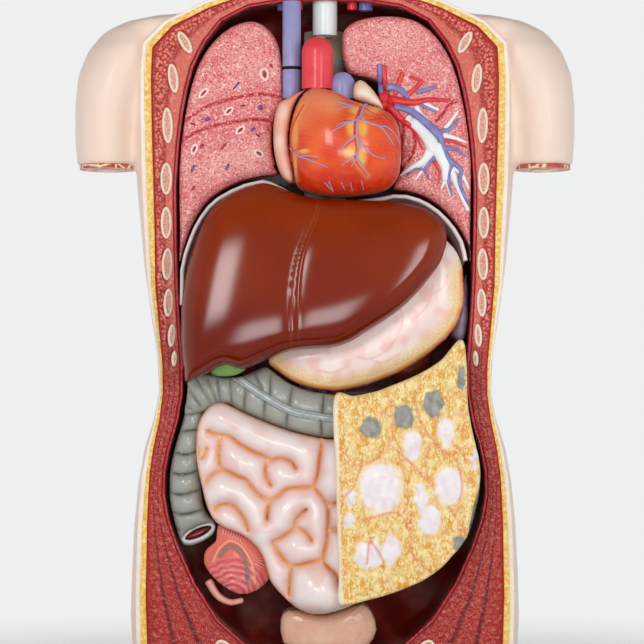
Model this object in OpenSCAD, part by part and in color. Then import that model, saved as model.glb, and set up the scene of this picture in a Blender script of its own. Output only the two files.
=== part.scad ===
// Take-apart torso anatomy model, sectioned in front, with removable organs on pegs.
// Frame: +Z up, -Y is the open front, +X is the viewer's right. Origin on the table, under the middle.

/* [Base] */
// Width of the base board
base_w = 380; // [360:5:400]
// Depth of the base board
base_d = 240; // [230:5:260]
// Thickness of the base board
base_t = 18; // [16:1:22]
// Height of the rubber feet
foot_h = 4; // [3:0.5:6]

/* [Trunk] */
// How far the section plates stand proud of the trunk's front face
plate_t = 4; // [3:0.5:6]
// Height of the cut through the neck
neck_top = 708; // [700:1:720]
// Thickness of the pleura around the opening
pleura_t = 2.5; // [2:0.5:4]

/* [Pegs] */
// Radius of the steel organ pegs
peg_r = 3; // [2.5:0.5:4]
// Radial clearance of a peg in its socket
peg_gap = 0.05; // [0.03:0.01:0.08]

/* [Hidden] */

section_y = -24;                    // the trunk's front face, behind the section plates
plate_y = section_y - plate_t;      // the front of the section plates
trunk_z = foot_h + base_t;          // the trunk stands on the board
neck_base = 646;
round_fn = 48;

// Half outline of the front opening's wall, top to bottom:
// [outer x, outer z, inner x, inner z, skin thickness, skin and fat thickness]
WALL = [
    [0, 646, 0, 630, 2, 4], [32, 645, 32, 629, 2, 4], [62, 640, 62, 624, 2, 5],
    [98, 629, 83, 613, 2.5, 7], [130, 613, 97, 595, 3, 8], [147, 596, 106, 576, 3.5, 9],
    [149, 570, 111, 557, 3.5, 9.5], [149, 540, 114.5, 538, 3.5, 9.5],
    [148.5, 514, 117.5, 514, 3.5, 9.5], [147.5, 480, 120, 480, 3.5, 9.5],
    [145.5, 440, 119.5, 440, 3.3, 8.5], [143, 400, 118.5, 400, 2.8, 6.5],
    [138, 365, 116.5, 365, 2, 4.5], [134, 335, 114.2, 335, 1.2, 3.2],
    [133.5, 312, 114.5, 312, 1, 2.8], [137.5, 290, 118.5, 290, 1.2, 3.8],
    [143.5, 268, 124.5, 270, 2.4, 5.2], [147.5, 248, 128.5, 250, 3.4, 6.4],
    [149.5, 228, 129, 231, 3.6, 7.2], [151, 208, 125.5, 211, 3.6, 7.8],
    [152, 184, 118, 189, 3.6, 8.5], [153, 148, 105, 160, 3.6, 9],
    [152, 106, 86, 130, 3.6, 9.5], [151, 62, 58, 105, 3.6, 9.5],
    [149.5, 25, 30, 91, 3.6, 9], [56, 25, 12, 85, 3.6, 9], [0, 25, 0, 83, 3.6, 9]];

// Trunk behind the section: [z, half width, depth to the back]
TRUNK = [[22, 150, 96], [60, 154, 106], [95, 157, 112], [130, 159, 110], [165, 158, 103],
    [205, 156, 93], [240, 152.5, 86], [268, 147.5, 82], [291, 140, 80], [313, 135.5, 80],
    [343, 137, 83], [375, 142, 88], [418, 148, 95], [478, 153.5, 102], [516, 155.5, 104],
    [548, 156, 102], [575, 156, 97], [597, 152, 90], [614, 136, 80], [630, 102, 68], [641, 66, 60],
    [646, 60, 57]];
RIM_X = [[22, 149.4], [62, 151], [106, 152], [148, 153], [184, 152], [208, 151],
    [228, 149.5], [248, 147.5], [268, 143.5], [290, 137.5], [312, 133.5], [335, 134], [365, 138],
    [400, 143], [440, 145.5], [480, 147.5], [514, 148.5], [570, 149], [596, 147], [613, 130],
    [629, 98], [640, 62], [646, 50]];

// Rib sections: [x, z, half width, half length, tilt]
RIBS = [[127, 529, 4.4, 14.5, 2], [128, 486, 4.8, 13, 0], [128, 450.5, 4.6, 13, 0],
    [127.2, 417, 4.5, 13, -2], [126.3, 386, 4, 11.5, -2], [123.6, 359.5, 3.2, 9.5, -4],
    [121.5, 341, 2.4, 6.5, -3], [122.4, 567, 4.2, 12, 8], [113, 596, 4, 10, 30]];

RIGHT_LUNG = [[-35, 580], [-35, 551], [-42, 538], [-45, 525], [-45, 509], [-42.5, 498], [-38.5, 490],
    [-50, 488.5], [-65, 485.5], [-77, 480.5], [-88, 474], [-96, 467], [-102.5, 458], [-107.5, 449],
    [-111, 440], [-115, 428], [-117.3, 419], [-117, 440], [-117.4, 476], [-117, 500], [-114.4, 525],
    [-110.6, 548], [-103, 575], [-91, 595], [-75, 608.5], [-56, 612.5], [-41, 601]];
LEFT_LUNG = [[16, 606], [14, 594], [15, 582], [20, 571.5], [33, 568], [43, 564], [50.5, 554],
    [51, 543], [59, 533], [62.5, 521], [63.5, 507], [62, 492], [55.5, 479], [66, 476.5], [77, 473.5],
    [85, 469.5], [93, 464], [100, 457], [107, 449], [113, 439], [117, 430], [117.4, 419], [117, 440],
    [117.6, 476], [117.5, 502], [114, 532], [109.5, 555], [102, 580], [89, 601], [72, 613.5], [50, 617],
    [28, 614]];
VENTRICLES = [[-10, 555.5], [0, 554.5], [12, 550.5], [22, 545], [36, 541.5], [48, 537.5],
    [55, 530.5], [58.5, 520], [59.3, 507], [59, 496], [57, 486], [50.5, 478], [42, 474.5],
    [32, 472.8], [20, 471.3], [10, 471.2], [-2.5, 472.5], [-13, 475], [-21, 479], [-24.2, 492],
    [-26.5, 508], [-27, 520], [-24, 536], [-18.5, 548]];
RIGHT_ATRIUM = [[-14, 563], [-18.5, 561], [-22.5, 556], [-28, 552], [-35, 545.5], [-39, 537.5],
    [-40.8, 528], [-41.2, 516], [-40, 504], [-37, 492], [-32.5, 484.5], [-26.4, 481.5], [-25.4, 485],
    [-26.8, 494], [-29, 508], [-29.4, 520], [-26.6, 537], [-21.4, 549.8], [-13.4, 557.8], [-11.8, 561]];
LEFT_AURICLE = [[22.5, 554], [24, 560], [28, 562.5], [33, 560], [39, 553.5], [44, 545.5],
    [46.2, 539.8], [41, 542], [33, 544.5], [25.5, 547], [22.8, 549.5]];
LIVER = [[-47, 480.4], [-60, 478], [-72, 473.2], [-80, 468.4], [-87, 462.7], [-93.5, 454.5],
    [-98.7, 443.6], [-103.5, 431], [-107.5, 418.4], [-111, 403], [-113.3, 389], [-114.2, 366],
    [-113.6, 347], [-112, 334], [-110, 322.5], [-100, 326.5], [-89, 330.2], [-78, 331.3],
    [-66, 332.3], [-55, 336.4], [-44, 341.6], [-28, 347.4], [-12, 349.2], [-1, 349.6], [10, 351.2],
    [21.5, 355.6], [32.5, 362.4], [46, 371], [59, 380.2], [71, 391.5], [82.5, 405], [90.5, 416],
    [94.5, 426], [96.5, 435.5], [95.3, 444.5], [91, 451.5], [80, 460], [65, 464.3], [49, 466],
    [32.5, 466.8], [17.5, 467.4], [3, 467.8], [-16, 469.8], [-30.5, 475]];
LIVER_REAR = [[-50, 466], [-72, 460], [-88, 444], [-98, 420], [-104, 392], [-104, 366], [-96, 356],
    [-78, 358], [-60, 362], [-50, 370], [-48, 400], [-46, 440]];
GALLBLADDER = [[-90, 334], [-89.5, 329.4], [-82.5, 327.8], [-74.5, 328.2], [-67, 331],
    [-63.5, 335.4], [-65.6, 344], [-72, 348], [-82.4, 346.4], [-88.6, 340]];
STOMACH = [[-45.5, 338], [-39.5, 332], [-27.7, 323.8], [-13, 317.7], [3, 315.4], [17.6, 316],
    [29.6, 318.5], [40, 322], [51, 326], [62, 331], [73.5, 337.8], [84, 345.6], [94.4, 354.2],
    [102, 362.6], [107, 371], [110.4, 380.5], [111.8, 392], [111.3, 406], [109.6, 416.8],
    [105.5, 426.6], [99, 434.6], [89.6, 442], [79, 444], [68.5, 440.5], [61.5, 431], [55, 416.8],
    [46, 400], [34, 384], [20, 372], [0, 361.6], [-20, 355], [-34.5, 349.5], [-42.5, 344]];
SPLEEN = [[97, 431], [104, 425], [110, 416], [114, 407], [116, 398], [116.4, 384],
    [115.6, 369], [113.6, 358], [110, 353.5], [104.8, 358], [100, 372], [96.8, 392], [95.2, 416]];
OMENTUM = [[7, 310], [23, 312], [40, 315.4], [53.5, 320.4], [69.5, 327], [81, 333], [91.5, 340],
    [99, 348.6], [104, 354.6], [108, 356.4], [110.6, 352], [112, 338], [112.4, 324], [113, 306],
    [116, 287], [119.4, 272], [121.8, 261], [122.8, 248], [121, 236], [117.6, 224.8], [114.8, 212],
    [113, 202.4], [108, 193.6], [101.6, 186.4], [92, 176], [76.8, 165.6], [56, 156.8], [34.4, 150.4],
    [12, 147], [10.8, 168], [9.6, 204], [8.4, 252]];
SMALL_INTESTINE = [[-86.5, 303.5], [-79, 302.5], [-68, 297], [-50, 289], [-28, 281], [-10, 276.6],
    [2, 274.6], [20, 275], [44, 278.2], [68, 286.8], [90, 296], [104, 301], [110, 284], [111, 260],
    [108.5, 236], [101.5, 212], [90, 190], [75, 176.5], [56, 164.5], [36, 154.6], [16, 144],
    [-5.5, 139], [-21, 143.5], [-32, 152.8], [-41.5, 164], [-46.5, 180], [-53, 192], [-64.5, 201.6],
    [-74.5, 206], [-84.6, 211], [-91.6, 221.6], [-96.4, 239.6], [-100.6, 261.6], [-100, 284],
    [-94.6, 297.4]];
ASCENDING_COLON = [[-105, 316], [-107, 308], [-109.5, 291], [-112, 274], [-117.4, 258.6],
    [-121.4, 244], [-122.4, 232], [-121.6, 220], [-120, 208], [-116, 194], [-108.8, 190.6],
    [-98.4, 193.6], [-90, 199.6], [-88.6, 208.2], [-97, 219.4], [-101.4, 239], [-105.6, 261.4],
    [-105.2, 285], [-100, 300.4], [-96.4, 305.4], [-98, 310.5]];
TRANSVERSE_COLON = [[-104, 318], [-99.2, 324], [-89.6, 327], [-78.4, 325.6], [-66.4, 327],
    [-55.2, 331.6], [-48, 334], [-40.6, 329.4], [-28.5, 321], [-13, 315], [3, 312.6], [23, 309.4],
    [40, 312.6], [54, 317.6], [69, 324.2], [81, 330.2], [92, 337.6], [100, 346], [106, 350],
    [109.6, 345], [110.6, 328], [109, 311.6], [92, 301.4], [68, 290.4], [44, 281.6], [20, 278.2],
    [1.6, 277.4], [-10.4, 279.4], [-28, 283.6], [-50, 291.6], [-68, 299.6], [-79, 305.2],
    [-87.6, 307], [-94.6, 311.8]];
DESCENDING_COLON = [[112, 308], [115.6, 288], [119.4, 273.6], [123.4, 261.6], [125, 248],
    [124.2, 232], [121.2, 218.4], [117.4, 204], [111, 192], [104, 183], [95, 177], [92, 184],
    [104, 208.8], [111.6, 234.4], [113.6, 260], [112.6, 284]];
TERMINAL_ILEUM = [[-85.8, 206.8], [-75, 204.2], [-65.6, 199.8], [-54.6, 190.4], [-49, 179],
    [-44.6, 165.8], [-50.4, 157.6], [-58.4, 152.8], [-68, 151.2], [-79, 156], [-88.8, 164],
    [-97, 175], [-96, 186], [-87.8, 194]];
BLADDER = [[-36, 128], [-30, 136], [-14, 134.5], [0, 132], [14, 136], [30, 141], [38, 134],
    [42, 120], [34, 106], [18, 99], [-2, 97], [-20, 100], [-34, 110]];
KIDNEY = [[70, 388], [82, 382], [88, 366], [89, 344], [84, 324], [72, 314], [60, 318], [55, 330],
    [60, 342], [62, 352], [58, 364], [57, 378]];

// Left lung vessels: [points, width at the first point, width at the last]
BRONCHI = [[[[56, 543], [66, 524], [73, 508], [79, 490]], 9, 12],
    [[[76, 512], [78, 496], [72, 484]], 13, 9], [[[74, 500], [68.5, 492], [65, 487]], 9, 3],
    [[[79, 500], [88, 488], [93, 476], [94, 464]], 13, 5],
    [[[93, 476], [99, 462], [104, 448], [107, 440]], 5, 1.6],
    [[[66, 543], [70, 536], [74, 531]], 5, 1.6], [[[64, 560], [70, 550], [77, 545], [86, 542]], 4, 1.6],
    [[[78, 530], [86, 540], [93, 548]], 2, 1.4], [[[84, 523], [92, 520], [101, 516]], 5, 1.4],
    [[[57, 560], [56, 576], [62, 590]], 5, 3], [[[95, 492], [101, 482], [104, 472]], 4, 1.6]];
ARTERIES = [[[[46, 552], [58, 543], [72, 530], [82, 517]], 8, 8],
    [[[78, 524], [88, 522], [96, 532]], 5, 2.4], [[[82, 517], [87, 504], [94, 494]], 6, 6],
    [[[88, 506], [97, 506], [103, 499]], 5, 2.4], [[[94, 496], [98, 484], [103, 468], [106, 454]], 5.5, 2],
    [[[92, 492], [89, 480], [91, 466]], 5, 2], [[[77, 496], [70, 488], [62, 486]], 3.6, 1.8],
    [[[71, 489], [76, 484], [77, 480]], 3, 1.6], [[[44, 568], [45.5, 582], [45, 600]], 4.5, 5],
    [[[44, 568], [55, 570], [64, 563]], 8, 4]];
VEINS = [[[[51, 557], [58, 556], [70, 553], [84, 555]], 10, 3],
    [[[50, 556], [48, 572], [48, 596]], 7, 4.5], [[[56, 556], [61, 572], [67, 586]], 6, 4],
    [[[66, 553], [74, 564], [84, 572]], 5, 3.5], [[[54, 552], [60, 541], [65, 529]], 7, 2.4],
    [[[86, 516], [95, 514], [103, 509]], 4, 2.4], [[[82, 552], [92, 548], [100, 545]], 2, 1.4]];
// Cut airways and vessels on the right lung's section face: [x, z, radius]
AIRWAYS = [[-97.8, 554.4, 3.4], [-48.6, 569.6, 4.4], [-77.4, 540, 3.2], [-68.2, 524.7, 3.2],
    [-105.2, 509.4, 3.6], [-53.2, 506, 3.4]];

// ---- shared shapes ----

// Closed Catmull-Rom curve through the points, n steps for each
function spline_point(a, b, c, d, t) = 0.5 * ((2 * b) + (c - a) * t
    + (2 * a - 5 * b + 4 * c - d) * t * t + (3 * b - a - 3 * c + d) * t * t * t);
function smooth(p, n = 2) = let (m = len(p)) [for (i = [0:m - 1], k = [0:n - 1])
    spline_point(p[(i + m - 1) % m], p[i], p[(i + 1) % m], p[(i + 2) % m], k / n)];
function mirrored(p) = [for (i = [len(p) - 1:-1:0]) [-p[i][0], p[i][1]]];
function centre(p) = [for (k = [0:1]) (max([for (q = p) q[k]]) + min([for (q = p) q[k]])) / 2];
function ellipse_points(rx, rz, n = 24) =
    [for (k = [0:n - 1]) [rx * cos(360 * k / n), rz * sin(360 * k / n)]];

// Profile of a domed face: [scale, y] from its edge at y = side to its crown at y = front
function dome(side, front, n = 5, power = 0.6) = [for (k = [0:n])
    let (a = 78 * k / n) [pow(cos(a), power), side + (front - side) * sin(a) / sin(78)]];

// Solid between stacked copies of an outline in XZ, each [scale, y] about the middle
module stack(outline, profile, mid = undef) {
    c = is_undef(mid) ? centre(outline) : mid;
    n = len(outline);
    rings = len(profile);
    clockwise = profile[0][1] > profile[rings - 1][1];
    points = [for (r = profile, p = outline)
        [c[0] + (p[0] - c[0]) * r[0], r[1], c[1] + (p[1] - c[1]) * r[0]]];
    sides = [for (r = [0:rings - 2], i = [0:n - 1])
        let (j = (i + 1) % n, a = r * n + i, b = r * n + j) each [[a, b, b + n], [a, b + n, a + n]]];
    left = signed_area(outline) > 0;
    cap = ears(outline, [for (i = [0:n - 1]) left ? i : n - 1 - i]);
    first = [for (f = cap) left ? [f[2], f[1], f[0]] : f];
    last = [for (f = first) [for (i = [2:-1:0]) (rings - 1) * n + f[i]]];
    faces = concat(sides, first, last);
    turned = !left == clockwise;
    polyhedron(points, turned ? faces : [for (f = faces) [for (i = [len(f) - 1:-1:0]) f[i]]], convexity = 6);
}
// Triangles of a flat outline, its ears cut off one after another; ids run anticlockwise
function turn(a, b, c) = (b[0] - a[0]) * (c[1] - a[1]) - (b[1] - a[1]) * (c[0] - a[0]);
function corner(o, ids, i) = [for (k = [-1:1]) o[ids[(i + k + len(ids)) % len(ids)]]];
function within(p, t) = turn(t[0], t[1], p) >= 0 && turn(t[1], t[2], p) >= 0 && turn(t[2], t[0], p) >= 0;
function is_ear(o, ids, i) = let (t = corner(o, ids, i), n = len(ids)) turn(t[0], t[1], t[2]) > 1e-6
    && len([for (k = [2:n - 2]) if (within(o[ids[(i + k) % n]], t)) k]) == 0;
function first_ear(o, ids, i) = is_ear(o, ids, i % len(ids)) ? i % len(ids) : first_ear(o, ids, i + 1);
function ears(o, ids, from = 0) = len(ids) == 3 ? [ids] : let (n = len(ids), i = first_ear(o, ids, from))
    concat([[ids[(i + n - 1) % n], ids[i], ids[(i + 1) % n]]],
        ears(o, [for (k = [0:n - 1]) if (k != i) ids[k]], i + 1));
function signed_area(p) = let (m = len(p))
    [for (i = [0:m - 1]) p[i][0] * p[(i + 1) % m][1] - p[(i + 1) % m][0] * p[i][1]] * [for (i = [0:m - 1]) 1];

// A moulded organ: straight sides from its back to y = side, then a dome to y = front
module organ(outline, back, side, front, mid = undef, steps = 2, power = 0.6) {
    stack(smooth(outline, steps), concat([[1, back]], dome(side, front, 5, power)), mid);
}
// A plate in XZ, from y = from down to y = to
module plate(from, to) { translate([0, from, 0]) rotate([90, 0, 0]) linear_extrude(from - to) children(); }
module rod(x, z, from, to, r, fn = round_fn) { plate(from, to) translate([x, z]) circle(r, $fn = fn); }
module upright(x, y, z0, z1, r, fn = round_fn) {
    translate([x, y, z0]) cylinder(h = z1 - z0, r = r, $fn = fn); }

// Outline of a branch that tapers along its points
function along(p, i) = let (a = p[max(i - 1, 0)], b = p[min(i + 1, len(p) - 1)], d = b - a) d / norm(d);
function branch_outline(p, w0, w1) = let (m = len(p) - 1) concat(
    [for (i = [0:m]) let (w = (w0 + (w1 - w0) * i / m) / 2, t = along(p, i)) p[i] + w * [-t[1], t[0]]],
    [p[m] + along(p, m) * w1 / 2],
    [for (i = [m:-1:0]) let (w = (w0 + (w1 - w0) * i / m) / 2, t = along(p, i)) p[i] - w * [-t[1], t[0]]],
    [p[0] - along(p, 0) * w0 / 2]);
function open_curve(p, n = 3) = let (m = len(p) - 1) concat([for (i = [0:m - 1], k = [0:n - 1])
    spline_point(p[max(i - 1, 0)], p[i], p[i + 1], p[min(i + 2, m)], k / n)], [p[m]]);
module branches(list, gap = 0) { for (b = list)
    polygon(branch_outline(open_curve(b[0]), b[1] + 2 * gap, b[2] + 2 * gap)); }

// ---- base ----

module rounded_board(w, d, r) { hull() for (x = [-1, 1], y = [-1, 1])
    translate([x * (w / 2 - r), y * (d / 2 - r)]) circle(r, $fn = 40); }
SCREWS = [for (x = [-1, 1], y = [-1, 1]) [x * 90, 36 + y * 30]];
screw_r = 3;
head_r = 5.5;
head_h = 5;
module base_board() { color([0.16, 0.16, 0.17]) difference() {
    translate([0, 0, foot_h]) linear_extrude(base_t) rounded_board(base_w, base_d, 34);
    for (s = SCREWS) { upright(s[0], s[1], 0, trunk_z + 1, screw_r + 0.3);
        upright(s[0], s[1], 0, foot_h + head_h + 1, head_r + 0.5); }
} }
module base_feet() { color([0.05, 0.05, 0.05]) for (x = [-1, 1], y = [-1, 1])
    upright(x * (base_w / 2 - 40), y * (base_d / 2 - 34), 0, foot_h, 13); }
module base_screws() { color("silver") for (s = SCREWS) {
    upright(s[0], s[1], foot_h + 1, foot_h + 1 + head_h, head_r);
    upright(s[0], s[1], foot_h + 1 + head_h, trunk_z + 20, screw_r); } }

// ---- trunk ----

function wall_line(t) = concat([for (s = WALL) wall_point(s, t)],
    [for (i = [len(WALL) - 2:-1:1]) let (p = wall_point(WALL[i], t)) [-p[0], p[1]]]);
// t is "outer", "skin", "fat", "pleura" or "inner"
function wall_point(s, t) = let (o = [s[0], s[1]], i = [s[2], s[3]], full = norm(i - o),
    d = t == "outer" ? 0 : t == "skin" ? s[4] : t == "fat" ? s[5] : t == "pleura" ? full - pleura_t : full)
    o + (i - o) * d / full;

back_steps = 9;
back_power = 2 / 2.4;               // superellipse: 1 is an ellipse, less is squarer
function trunk_ring(s) = let (x = lookup(s[0], RIM_X)) concat(
    [[x, section_y, s[0]], [(x + s[1] * 2) / 3, section_y / 2, s[0]]],
    [for (k = [0:2 * back_steps]) let (a = 90 * k / back_steps, c = cos(a))
        [s[1] * sign(c) * pow(abs(c), back_power), s[2] * pow(abs(sin(a)), back_power), s[0]]],
    [[-(x + s[1] * 2) / 3, section_y / 2, s[0]], [-x, section_y, s[0]]]);
module loft(rings) {
    n = len(rings[0]);
    m = len(rings);
    polyhedron([for (r = rings) each r], concat(
        [for (r = [0:m - 2], i = [0:n - 1]) let (j = (i + 1) % n, a = r * n + i, b = r * n + j)
            each [[a, b + n, b], [a, a + n, b + n]]],
        [[for (i = [0:n - 1]) i], [for (i = [n - 1:-1:0]) (m - 1) * n + i]]), convexity = 6);
}
function oval_ring(x, y, z, rx, ry, n = 20) =
    [for (k = [0:n - 1]) [x + rx * cos(360 * k / n), y + ry * sin(360 * k / n), z]];
arm_bottom = 498;
// Upper arm stump: [z, centre x, half width, half depth]
ARM = [[arm_bottom, 178, 25, 36], [520, 178.5, 26, 38], [548, 176, 28.5, 40], [572, 170, 32, 41],
    [592, 158, 36, 39], [606, 144, 38, 33], [616, 128, 34, 24], [622, 114, 22, 12]];
module arm_stump(side) { loft([for (a = ARM) side > 0 ? oval_ring(a[1], 4, a[0], a[2], a[3])
    : oval_ring(-a[1], 4, a[0], a[2], a[3])]); }
module neck() { loft([for (a = [[neck_base, 58, 54], [660, 56, 52], [684, 55, 51], [neck_top, 56, 52]])
    oval_ring(0, 2, a[0], a[1], a[2], 28)]); }
cavity_side = 14;
cavity_back = 70;
module cavity() { stack(smooth(wall_line("inner"), 1),
    concat([[1, section_y - 1]], dome(cavity_side, cavity_back, 5, 0.45)), [0, 350]); }
tube_gap = 0.4;
module neck_tubes(extra = 0) {
    upright(0, -12.5, 600, neck_top + 3, 10 + extra);
    upright(0, 6, 600, neck_top + 3, 6 + extra);
    for (x = [-1, 1]) { upright(x * 22, -14, 624, neck_top + 2, 4 + extra);
        upright(x * 33, -8, 624, neck_top + 2, 6 + extra); }
}
module trunk_shell() { color([0.93, 0.78, 0.7]) difference() {
    union() { difference() {
        union() { loft([for (s = TRUNK) trunk_ring(s)]); arm_stump(1); arm_stump(-1); }
        translate([-150, section_y - 60, trunk_z - 1]) cube([300, 60, neck_base - trunk_z + 1]);
        cavity(); }
      neck(); }
    neck_tubes(tube_gap);
    spine_channels();
    for (s = SCREWS) upright(s[0], s[1], trunk_z - 1, trunk_z + 20.5, screw_r + 0.05);
    for (x = [-1, 1]) upright(x * 178, 4, arm_bottom - 1, arm_bottom + 12, 9.4);
} }
module skin_edge() { color([0.96, 0.86, 0.8]) plate(section_y, plate_y) difference() {
    polygon(wall_line("outer")); polygon(wall_line("skin")); } }
module fat_layer() { color([0.93, 0.68, 0.2]) plate(section_y, plate_y) difference() {
    polygon(wall_line("skin")); polygon(wall_line("fat")); } }
module rib_shapes() { for (r = RIBS, side = [-1, 1])
    translate([side * r[0], r[1]]) rotate(side * -r[4]) polygon(ellipse_points(r[2], r[3])); }
// Bone sections in the pelvis: [x, z, half width, half height, tilt], one of each pair
PELVIS = [[8.5, 60, 7, 13, 0], [76, 92, 10, 24, 24], [106, 66, 17, 17, 0]];
module pelvis_shapes() { for (b = PELVIS, side = [-1, 1])
    translate([side * b[0], b[1]]) rotate(side * -b[4]) polygon(ellipse_points(b[2], b[3])); }
module muscle_layer() { color([0.72, 0.18, 0.12]) plate(section_y, plate_y) difference() {
    polygon(wall_line("fat")); polygon(wall_line("pleura")); rib_shapes(); pelvis_shapes(); } }
module bone_sections() { color([0.95, 0.9, 0.78]) plate(section_y, plate_y) {
    rib_shapes(); pelvis_shapes(); } }
module pleura() { color([0.6, 0.1, 0.16]) plate(section_y, plate_y) difference() {
    polygon(wall_line("pleura")); polygon(wall_line("inner")); } }

module arm_muscle_sections() { color([0.75, 0.4, 0.42]) for (x = [-1, 1]) difference() {
    translate([x * 178, 4, arm_bottom - 3]) linear_extrude(3) polygon(ellipse_points(23, 34));
    upright(x * 178, 4, arm_bottom - 4, arm_bottom + 1, 9.4); } }
module humerus_sections() { color([0.95, 0.9, 0.78]) for (x = [-1, 1])
    upright(x * 178, 4, arm_bottom - 4, arm_bottom + 12, 9.35); }
module neck_section() { color([0.75, 0.3, 0.28]) difference() {
    translate([0, 2, neck_top]) linear_extrude(1.5) polygon(ellipse_points(53, 49, 36));
    neck_tubes(tube_gap);
    spine_channels(); } }

spine_y = 46;
spine_z = 136;                      // underside of the lowest vertebra
vertebra_pitch = 30.2;
disc_t = 7;
cord_y = spine_y + 9;
neck_spine_y = 30;
neck_cord_y = neck_spine_y + 7;
module vertebrae() { color([0.93, 0.88, 0.76]) { for (k = [0:15]) difference() {
        upright(0, spine_y, spine_z + k * vertebra_pitch, spine_z + (k + 1) * vertebra_pitch - disc_t, 17.5);
        upright(0, cord_y, spine_z + k * vertebra_pitch - 1, spine_z + (k + 1) * vertebra_pitch, 4.2); }
    difference() {
        upright(0, neck_spine_y, neck_base, neck_top + 2, 14);
        upright(0, neck_cord_y, neck_base - 1, neck_top + 3, 4.2); } } }
module intervertebral_discs() { color([0.75, 0.82, 0.86]) for (k = [1:15]) difference() {
    upright(0, spine_y, spine_z + k * vertebra_pitch - disc_t, spine_z + k * vertebra_pitch, 18);
    upright(0, cord_y, spine_z + k * vertebra_pitch - 9, spine_z + k * vertebra_pitch + 1, 4.2); } }
module spinal_cord() { color([0.93, 0.85, 0.4]) {
    upright(0, cord_y, spine_z, spine_z + 16 * vertebra_pitch - disc_t, 4);
    upright(0, neck_cord_y, neck_base, neck_top + 2.5, 4); } }
module spine_channels() {
    upright(0, spine_y, spine_z, spine_z + 16 * vertebra_pitch - disc_t, 18.4);
    upright(0, neck_spine_y, neck_base, neck_top + 4, 14.4); }

module trachea() { color([0.85, 0.88, 0.9]) difference() {
    upright(0, -12.5, 603, neck_top + 2, 10);
    upright(0, -12.5, 602, neck_top + 3, 7.5); } }
module oesophagus() { color([0.8, 0.5, 0.45]) difference() {
    upright(0, 6, 603, neck_top + 2, 6);
    upright(0, 6, 602, neck_top + 3, 2.4); } }
module neck_arteries() { color([0.8, 0.1, 0.12]) for (x = [-1, 1]) difference() {
    upright(x * 22, -14, 624, neck_top + 2, 4);
    upright(x * 22, -14, 623, neck_top + 3, 2.4); } }
module neck_veins() { color([0.4, 0.4, 0.66]) for (x = [-1, 1]) difference() {
    upright(x * 33, -8, 624, neck_top + 2, 6);
    upright(x * 33, -8, 623, neck_top + 3, 4); } }
cava_x = -26.8;
cava_r = 7.4;
module upper_vena_cava() { color([0.55, 0.56, 0.75]) upright(cava_x, -31, 576, 628.6, cava_r); }

// Diaphragm: a curved band round the underside of the chest organs
DIAPHRAGM = [[-117, 384], [-116.8, 412], [-114, 425.5], [-110, 437], [-106.4, 446], [-101.4, 455],
    [-95, 463.8], [-87.2, 470.8], [-76.2, 477], [-64.6, 482], [-50.2, 485.2], [-43, 483.4],
    [-36, 480], [-28, 475.6], [-20, 472], [-10, 469.6], [0, 468.8], [12, 468.4], [24, 468.6],
    [36, 470], [46, 471.4], [55, 473.4], [66, 473], [76.2, 470], [84.2, 466], [92, 460.6], [99, 453.8],
    [105.4, 446], [111, 436.4], [113.8, 427], [115, 420]];
diaphragm_t = 3.6;
function inward(p, t) = [for (i = [0:len(p) - 1]) let (d = along(p, i)) p[i] + t * [d[1], -d[0]]];
module diaphragm() { color([0.88, 0.85, 0.82]) {
    plate(cavity_side - 2, -31) polygon(concat(DIAPHRAGM,
        [for (k = [len(DIAPHRAGM) - 1:-1:0]) inward(DIAPHRAGM, diaphragm_t)[k]]));
    for (p = [[-118, 390], [117, 424]])
        plate(cavity_side - 2, -18) translate(p) square([8, 8], center = true); } }

module abdominal_aorta() { color([0.8, 0.12, 0.14]) { upright(9, 20, 190, 464, 7);
    for (s = [-1, 1]) translate([9, 20, 190]) rotate([0, 180 + s * 28, 0])
        cylinder(h = 42, r = 4.6, $fn = round_fn);
    translate([9, 20, 190]) sphere(7, $fn = round_fn); } }
module lower_vena_cava() { color([0.35, 0.36, 0.62]) upright(-13, 20, 180, 464, 8); }
module kidneys() { color([0.6, 0.2, 0.16]) for (p = [KIDNEY, mirrored(KIDNEY)]) {
    organ(p, 52, 36, 26);
    rod(centre(p)[0], 350, 72, 50, 6); } }
module bladder() { color([0.9, 0.72, 0.6]) { organ(BLADDER, 8, -12, -22); rod(0, 118, 62, 6, 10); } }

// Sockets on the back wall that the organ pegs plug into: [x, z, y of the socket's mouth]
SOCKETS = [[-78, 540, 14], [78, 540, 14], [27, 512, -2], [80, 408, 8], [-78, 404, 10],
    [-60, 232, 0], [60, 232, 0]];
socket_r = 7;
socket_depth = 16;
module organ_sockets() { color([0.85, 0.85, 0.83]) for (s = SOCKETS) difference() {
    rod(s[0], s[1], 66, s[2], socket_r);
    rod(s[0], s[1], s[2] + socket_depth, s[2] - 1, peg_r + peg_gap); } }
// A peg that stands in socket k and ends on the organ's back at y = organ_back
module socket_peg(k, organ_back) { color("silver")
    rod(SOCKETS[k][0], SOCKETS[k][1], SOCKETS[k][2] + socket_depth - 2, organ_back, peg_r); }

// ---- chest organs ----

lung_back = 12;
lung_face = -33;
module lung(outline) {
    stack(smooth(outline, 2), [[1, lung_back], [1, -29.5], [0.985, -31.8], [0.965, lung_face]]); }
module right_lung() { color([0.86, 0.45, 0.45]) lung(RIGHT_LUNG); }
module right_lung_airways() { color([0.93, 0.85, 0.84]) plate(lung_face, lung_face - 1) for (a = AIRWAYS)
    translate([a[0], a[1]]) rotate(-35) difference() {
        polygon(ellipse_points(a[2] * 0.6, a[2])); polygon(ellipse_points(a[2] * 0.25, a[2] * 0.55)); } }
module left_lung() { color([0.86, 0.42, 0.42]) lung(LEFT_LUNG); }
module left_pulmonary_veins() { color([0.83, 0.12, 0.18]) plate(lung_face, lung_face - 5) branches(VEINS); }
module left_pulmonary_arteries() { color([0.42, 0.4, 0.68]) plate(lung_face, lung_face - 4.5) difference() {
    branches(ARTERIES); branches(VEINS, 0.3); } }
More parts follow.
